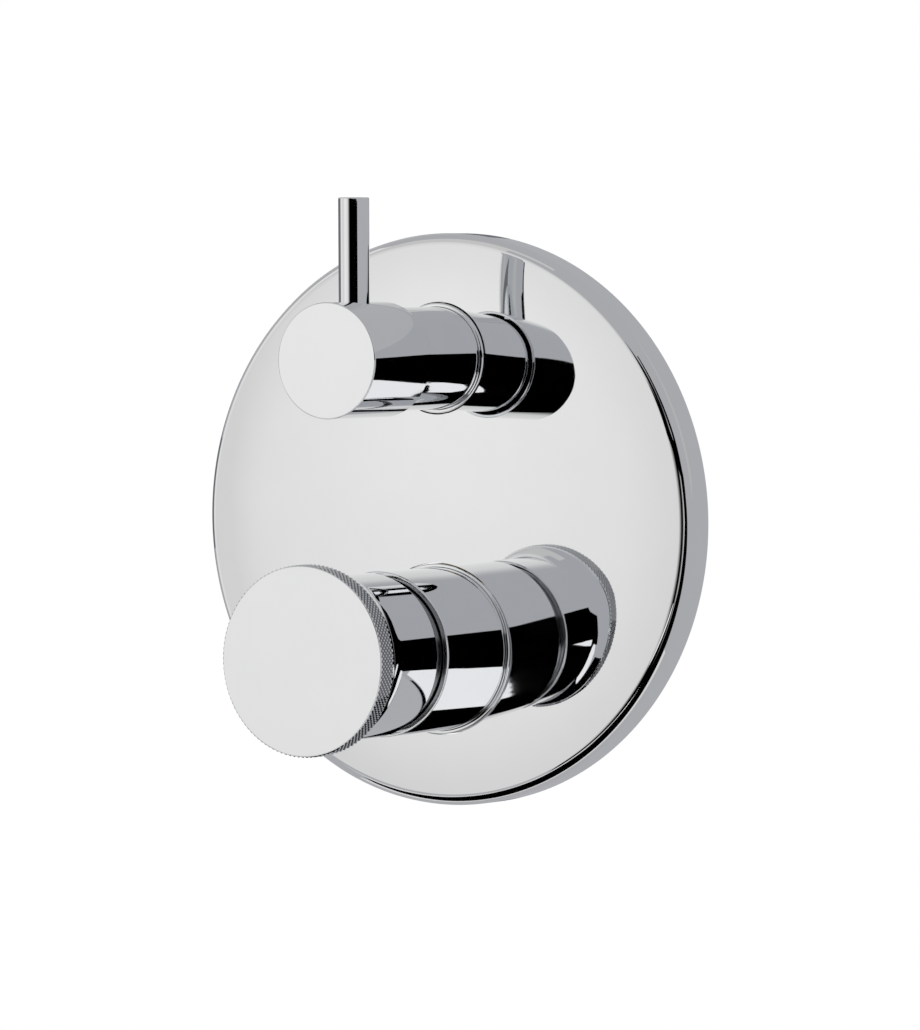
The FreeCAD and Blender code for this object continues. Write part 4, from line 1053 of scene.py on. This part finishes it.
# %% Black cloths below
low_cloth, tree, light = glowing("black_low_cloth", PANEL_TINT, 0.0)
once = add(tree, "ShaderNodeMath", {0: mirrored_once(tree), 1: PANEL_EDGE_STRENGTH}, operation="MULTIPLY")
tree.links.new(once.outputs[0], light.inputs["Strength"])
low_round = [(-0.35, -0.6), (-0.65, -0.62), (-1.3, -0.75), (-1.3, -1.15)]
stage_sheet("black_low_cloth", hung(card_left[::-1] + card_top[-1:] + low_round, BEHIND), low_cloth)
stage_sheet("black_floor_cloth", oblong((FLOOR_CLOTH_LEFT, -STAGE_OUT, FLOOR_CLOTH_HEIGHT),
                                        (FLOOR_CLOTH_RIGHT, FLOOR_CLOTH_BACK, FLOOR_CLOTH_HEIGHT)), low_cloth)

# %% [markdown]
# The rounded edge of the plate and the pin mirror the room directly, and both show a crisp black line. Each
# gets a small card of its own, close enough that little else sees it: a ring just outside the plate, wider
# below than on the right, and a narrow strip at the height of the pin. These cards are black only for what
# looks at them directly, and clear for the rest.

# %% Near black cards, for the plate's edge and the pin
PIN_CARD_OUT = 0.3
PIN_CARD_LEFT = 0.02
PIN_CARD_RIGHT = 0.42
PIN_CARD_LOW = 0.05
PIN_CARD_HIGH = 0.1
RING_OUT = 0.03
# Each entry is an angle from the right in degrees, and the inner and outer radius there in mm.
ring_edges = [(40, 92.5, 97), (20, 92.5, 103), (0, 92.5, 110), (-15, 92.5, 120), (-30, 92.5, 133),
              (-45, 92.5, 150), (-60, 92.5, 180), (-75, 93, 220), (-90, 95, 240), (-100, 99, 240),
              (-110, 105, 200), (-120, 112, 130)]
near_card, tree, light = glowing("black_card", "#000000", 0.0)
clear = add(tree, "ShaderNodeBsdfTransparent", {})
both = add(tree, "ShaderNodeMixShader", {"Fac": mirrored_once(tree), 1: clear.outputs[0],
                                         2: light.outputs[0]})
tree.links.new(both.outputs[0], tree.nodes["Material Output"].inputs["Surface"])
stage_sheet("black_pin_card", oblong((PIN_CARD_LEFT, -PIN_CARD_OUT, PIN_CARD_LOW),
                                     (PIN_CARD_RIGHT, -PIN_CARD_OUT, PIN_CARD_HIGH)), near_card)


def ring_corner(degrees, radius):
    """A corner of the near ring, by its angle from the right and its radius in mm."""
    angle = math.radians(degrees)
    return (radius * MM * math.cos(angle), -RING_OUT, radius * MM * math.sin(angle))


ring_inner = [ring_corner(degrees, inside) for degrees, inside, outside in ring_edges]
ring_outer = [ring_corner(degrees, outside) for degrees, inside, outside in ring_edges]
stage_sheet("black_ring_card", ring_inner + ring_outer[::-1], near_card)

# %% [markdown]
# A round bar on white melts into the background unless its edge is dark. So two dark sheets stand far behind
# the mixer and beside it, and the upright pin mirrors them along its left edge.

# %% Dark backdrop, for the pin's edge
BACKDROP_BACK = 1.5
BACKDROP_RIGHT = -0.25
BACKDROP_LOW = -0.4
BACKDROP_HIGH = 0.45
backdrop_glow = glowing("dark_backdrop", "#6e6f74", 1.0)[0]
for name, start, end in (
    ("dark_backdrop", (side_x, BACKDROP_BACK), (BACKDROP_RIGHT, BACKDROP_BACK)),
    ("dark_side_backdrop", (side_x, SIDE_BACK), (side_x, BACKDROP_BACK)),
):
    stage_sheet(name, oblong((*start, BACKDROP_LOW), (*end, BACKDROP_HIGH)), backdrop_glow)

# %% [markdown]
# ## The camera
# The picture was taken from the right, a little above, with a long lens: far knob and near knob have
# almost the same scale. The angles were found by laying the outlines of plate and knobs over the photo.

# %% Camera
CAMERA_DISTANCE = 1.9197
CAMERA_AZIMUTH = math.radians(32.729)
CAMERA_ELEVATION = math.radians(2.088)
CAMERA_ROLL = math.radians(-0.273)
CAMERA_TARGET = Vector((-1.10 * MM, 0, 1.04 * MM))
FOCAL_PIXELS = 6433.6
PHOTO_HEIGHT = 1030
SENSOR_WIDTH = 36
camera_data = bpy.data.cameras.new("camera")
camera = bpy.data.objects.new("camera", camera_data)
scene.collection.objects.link(camera)
turn = (Matrix.Rotation(CAMERA_AZIMUTH, 4, "Z") @ Matrix.Rotation(math.pi / 2 - CAMERA_ELEVATION, 4, "X")
        @ Matrix.Rotation(CAMERA_ROLL, 4, "Z"))
camera.matrix_world = Matrix.Translation(CAMERA_TARGET) @ turn @ Matrix.Translation((0, 0, CAMERA_DISTANCE))
camera_data.sensor_width = SENSOR_WIDTH
camera_data.sensor_fit = "AUTO"
camera_data.lens = FOCAL_PIXELS * SENSOR_WIDTH / PHOTO_HEIGHT
scene.camera = camera
print("lens, mm:", round(camera_data.lens, 1))
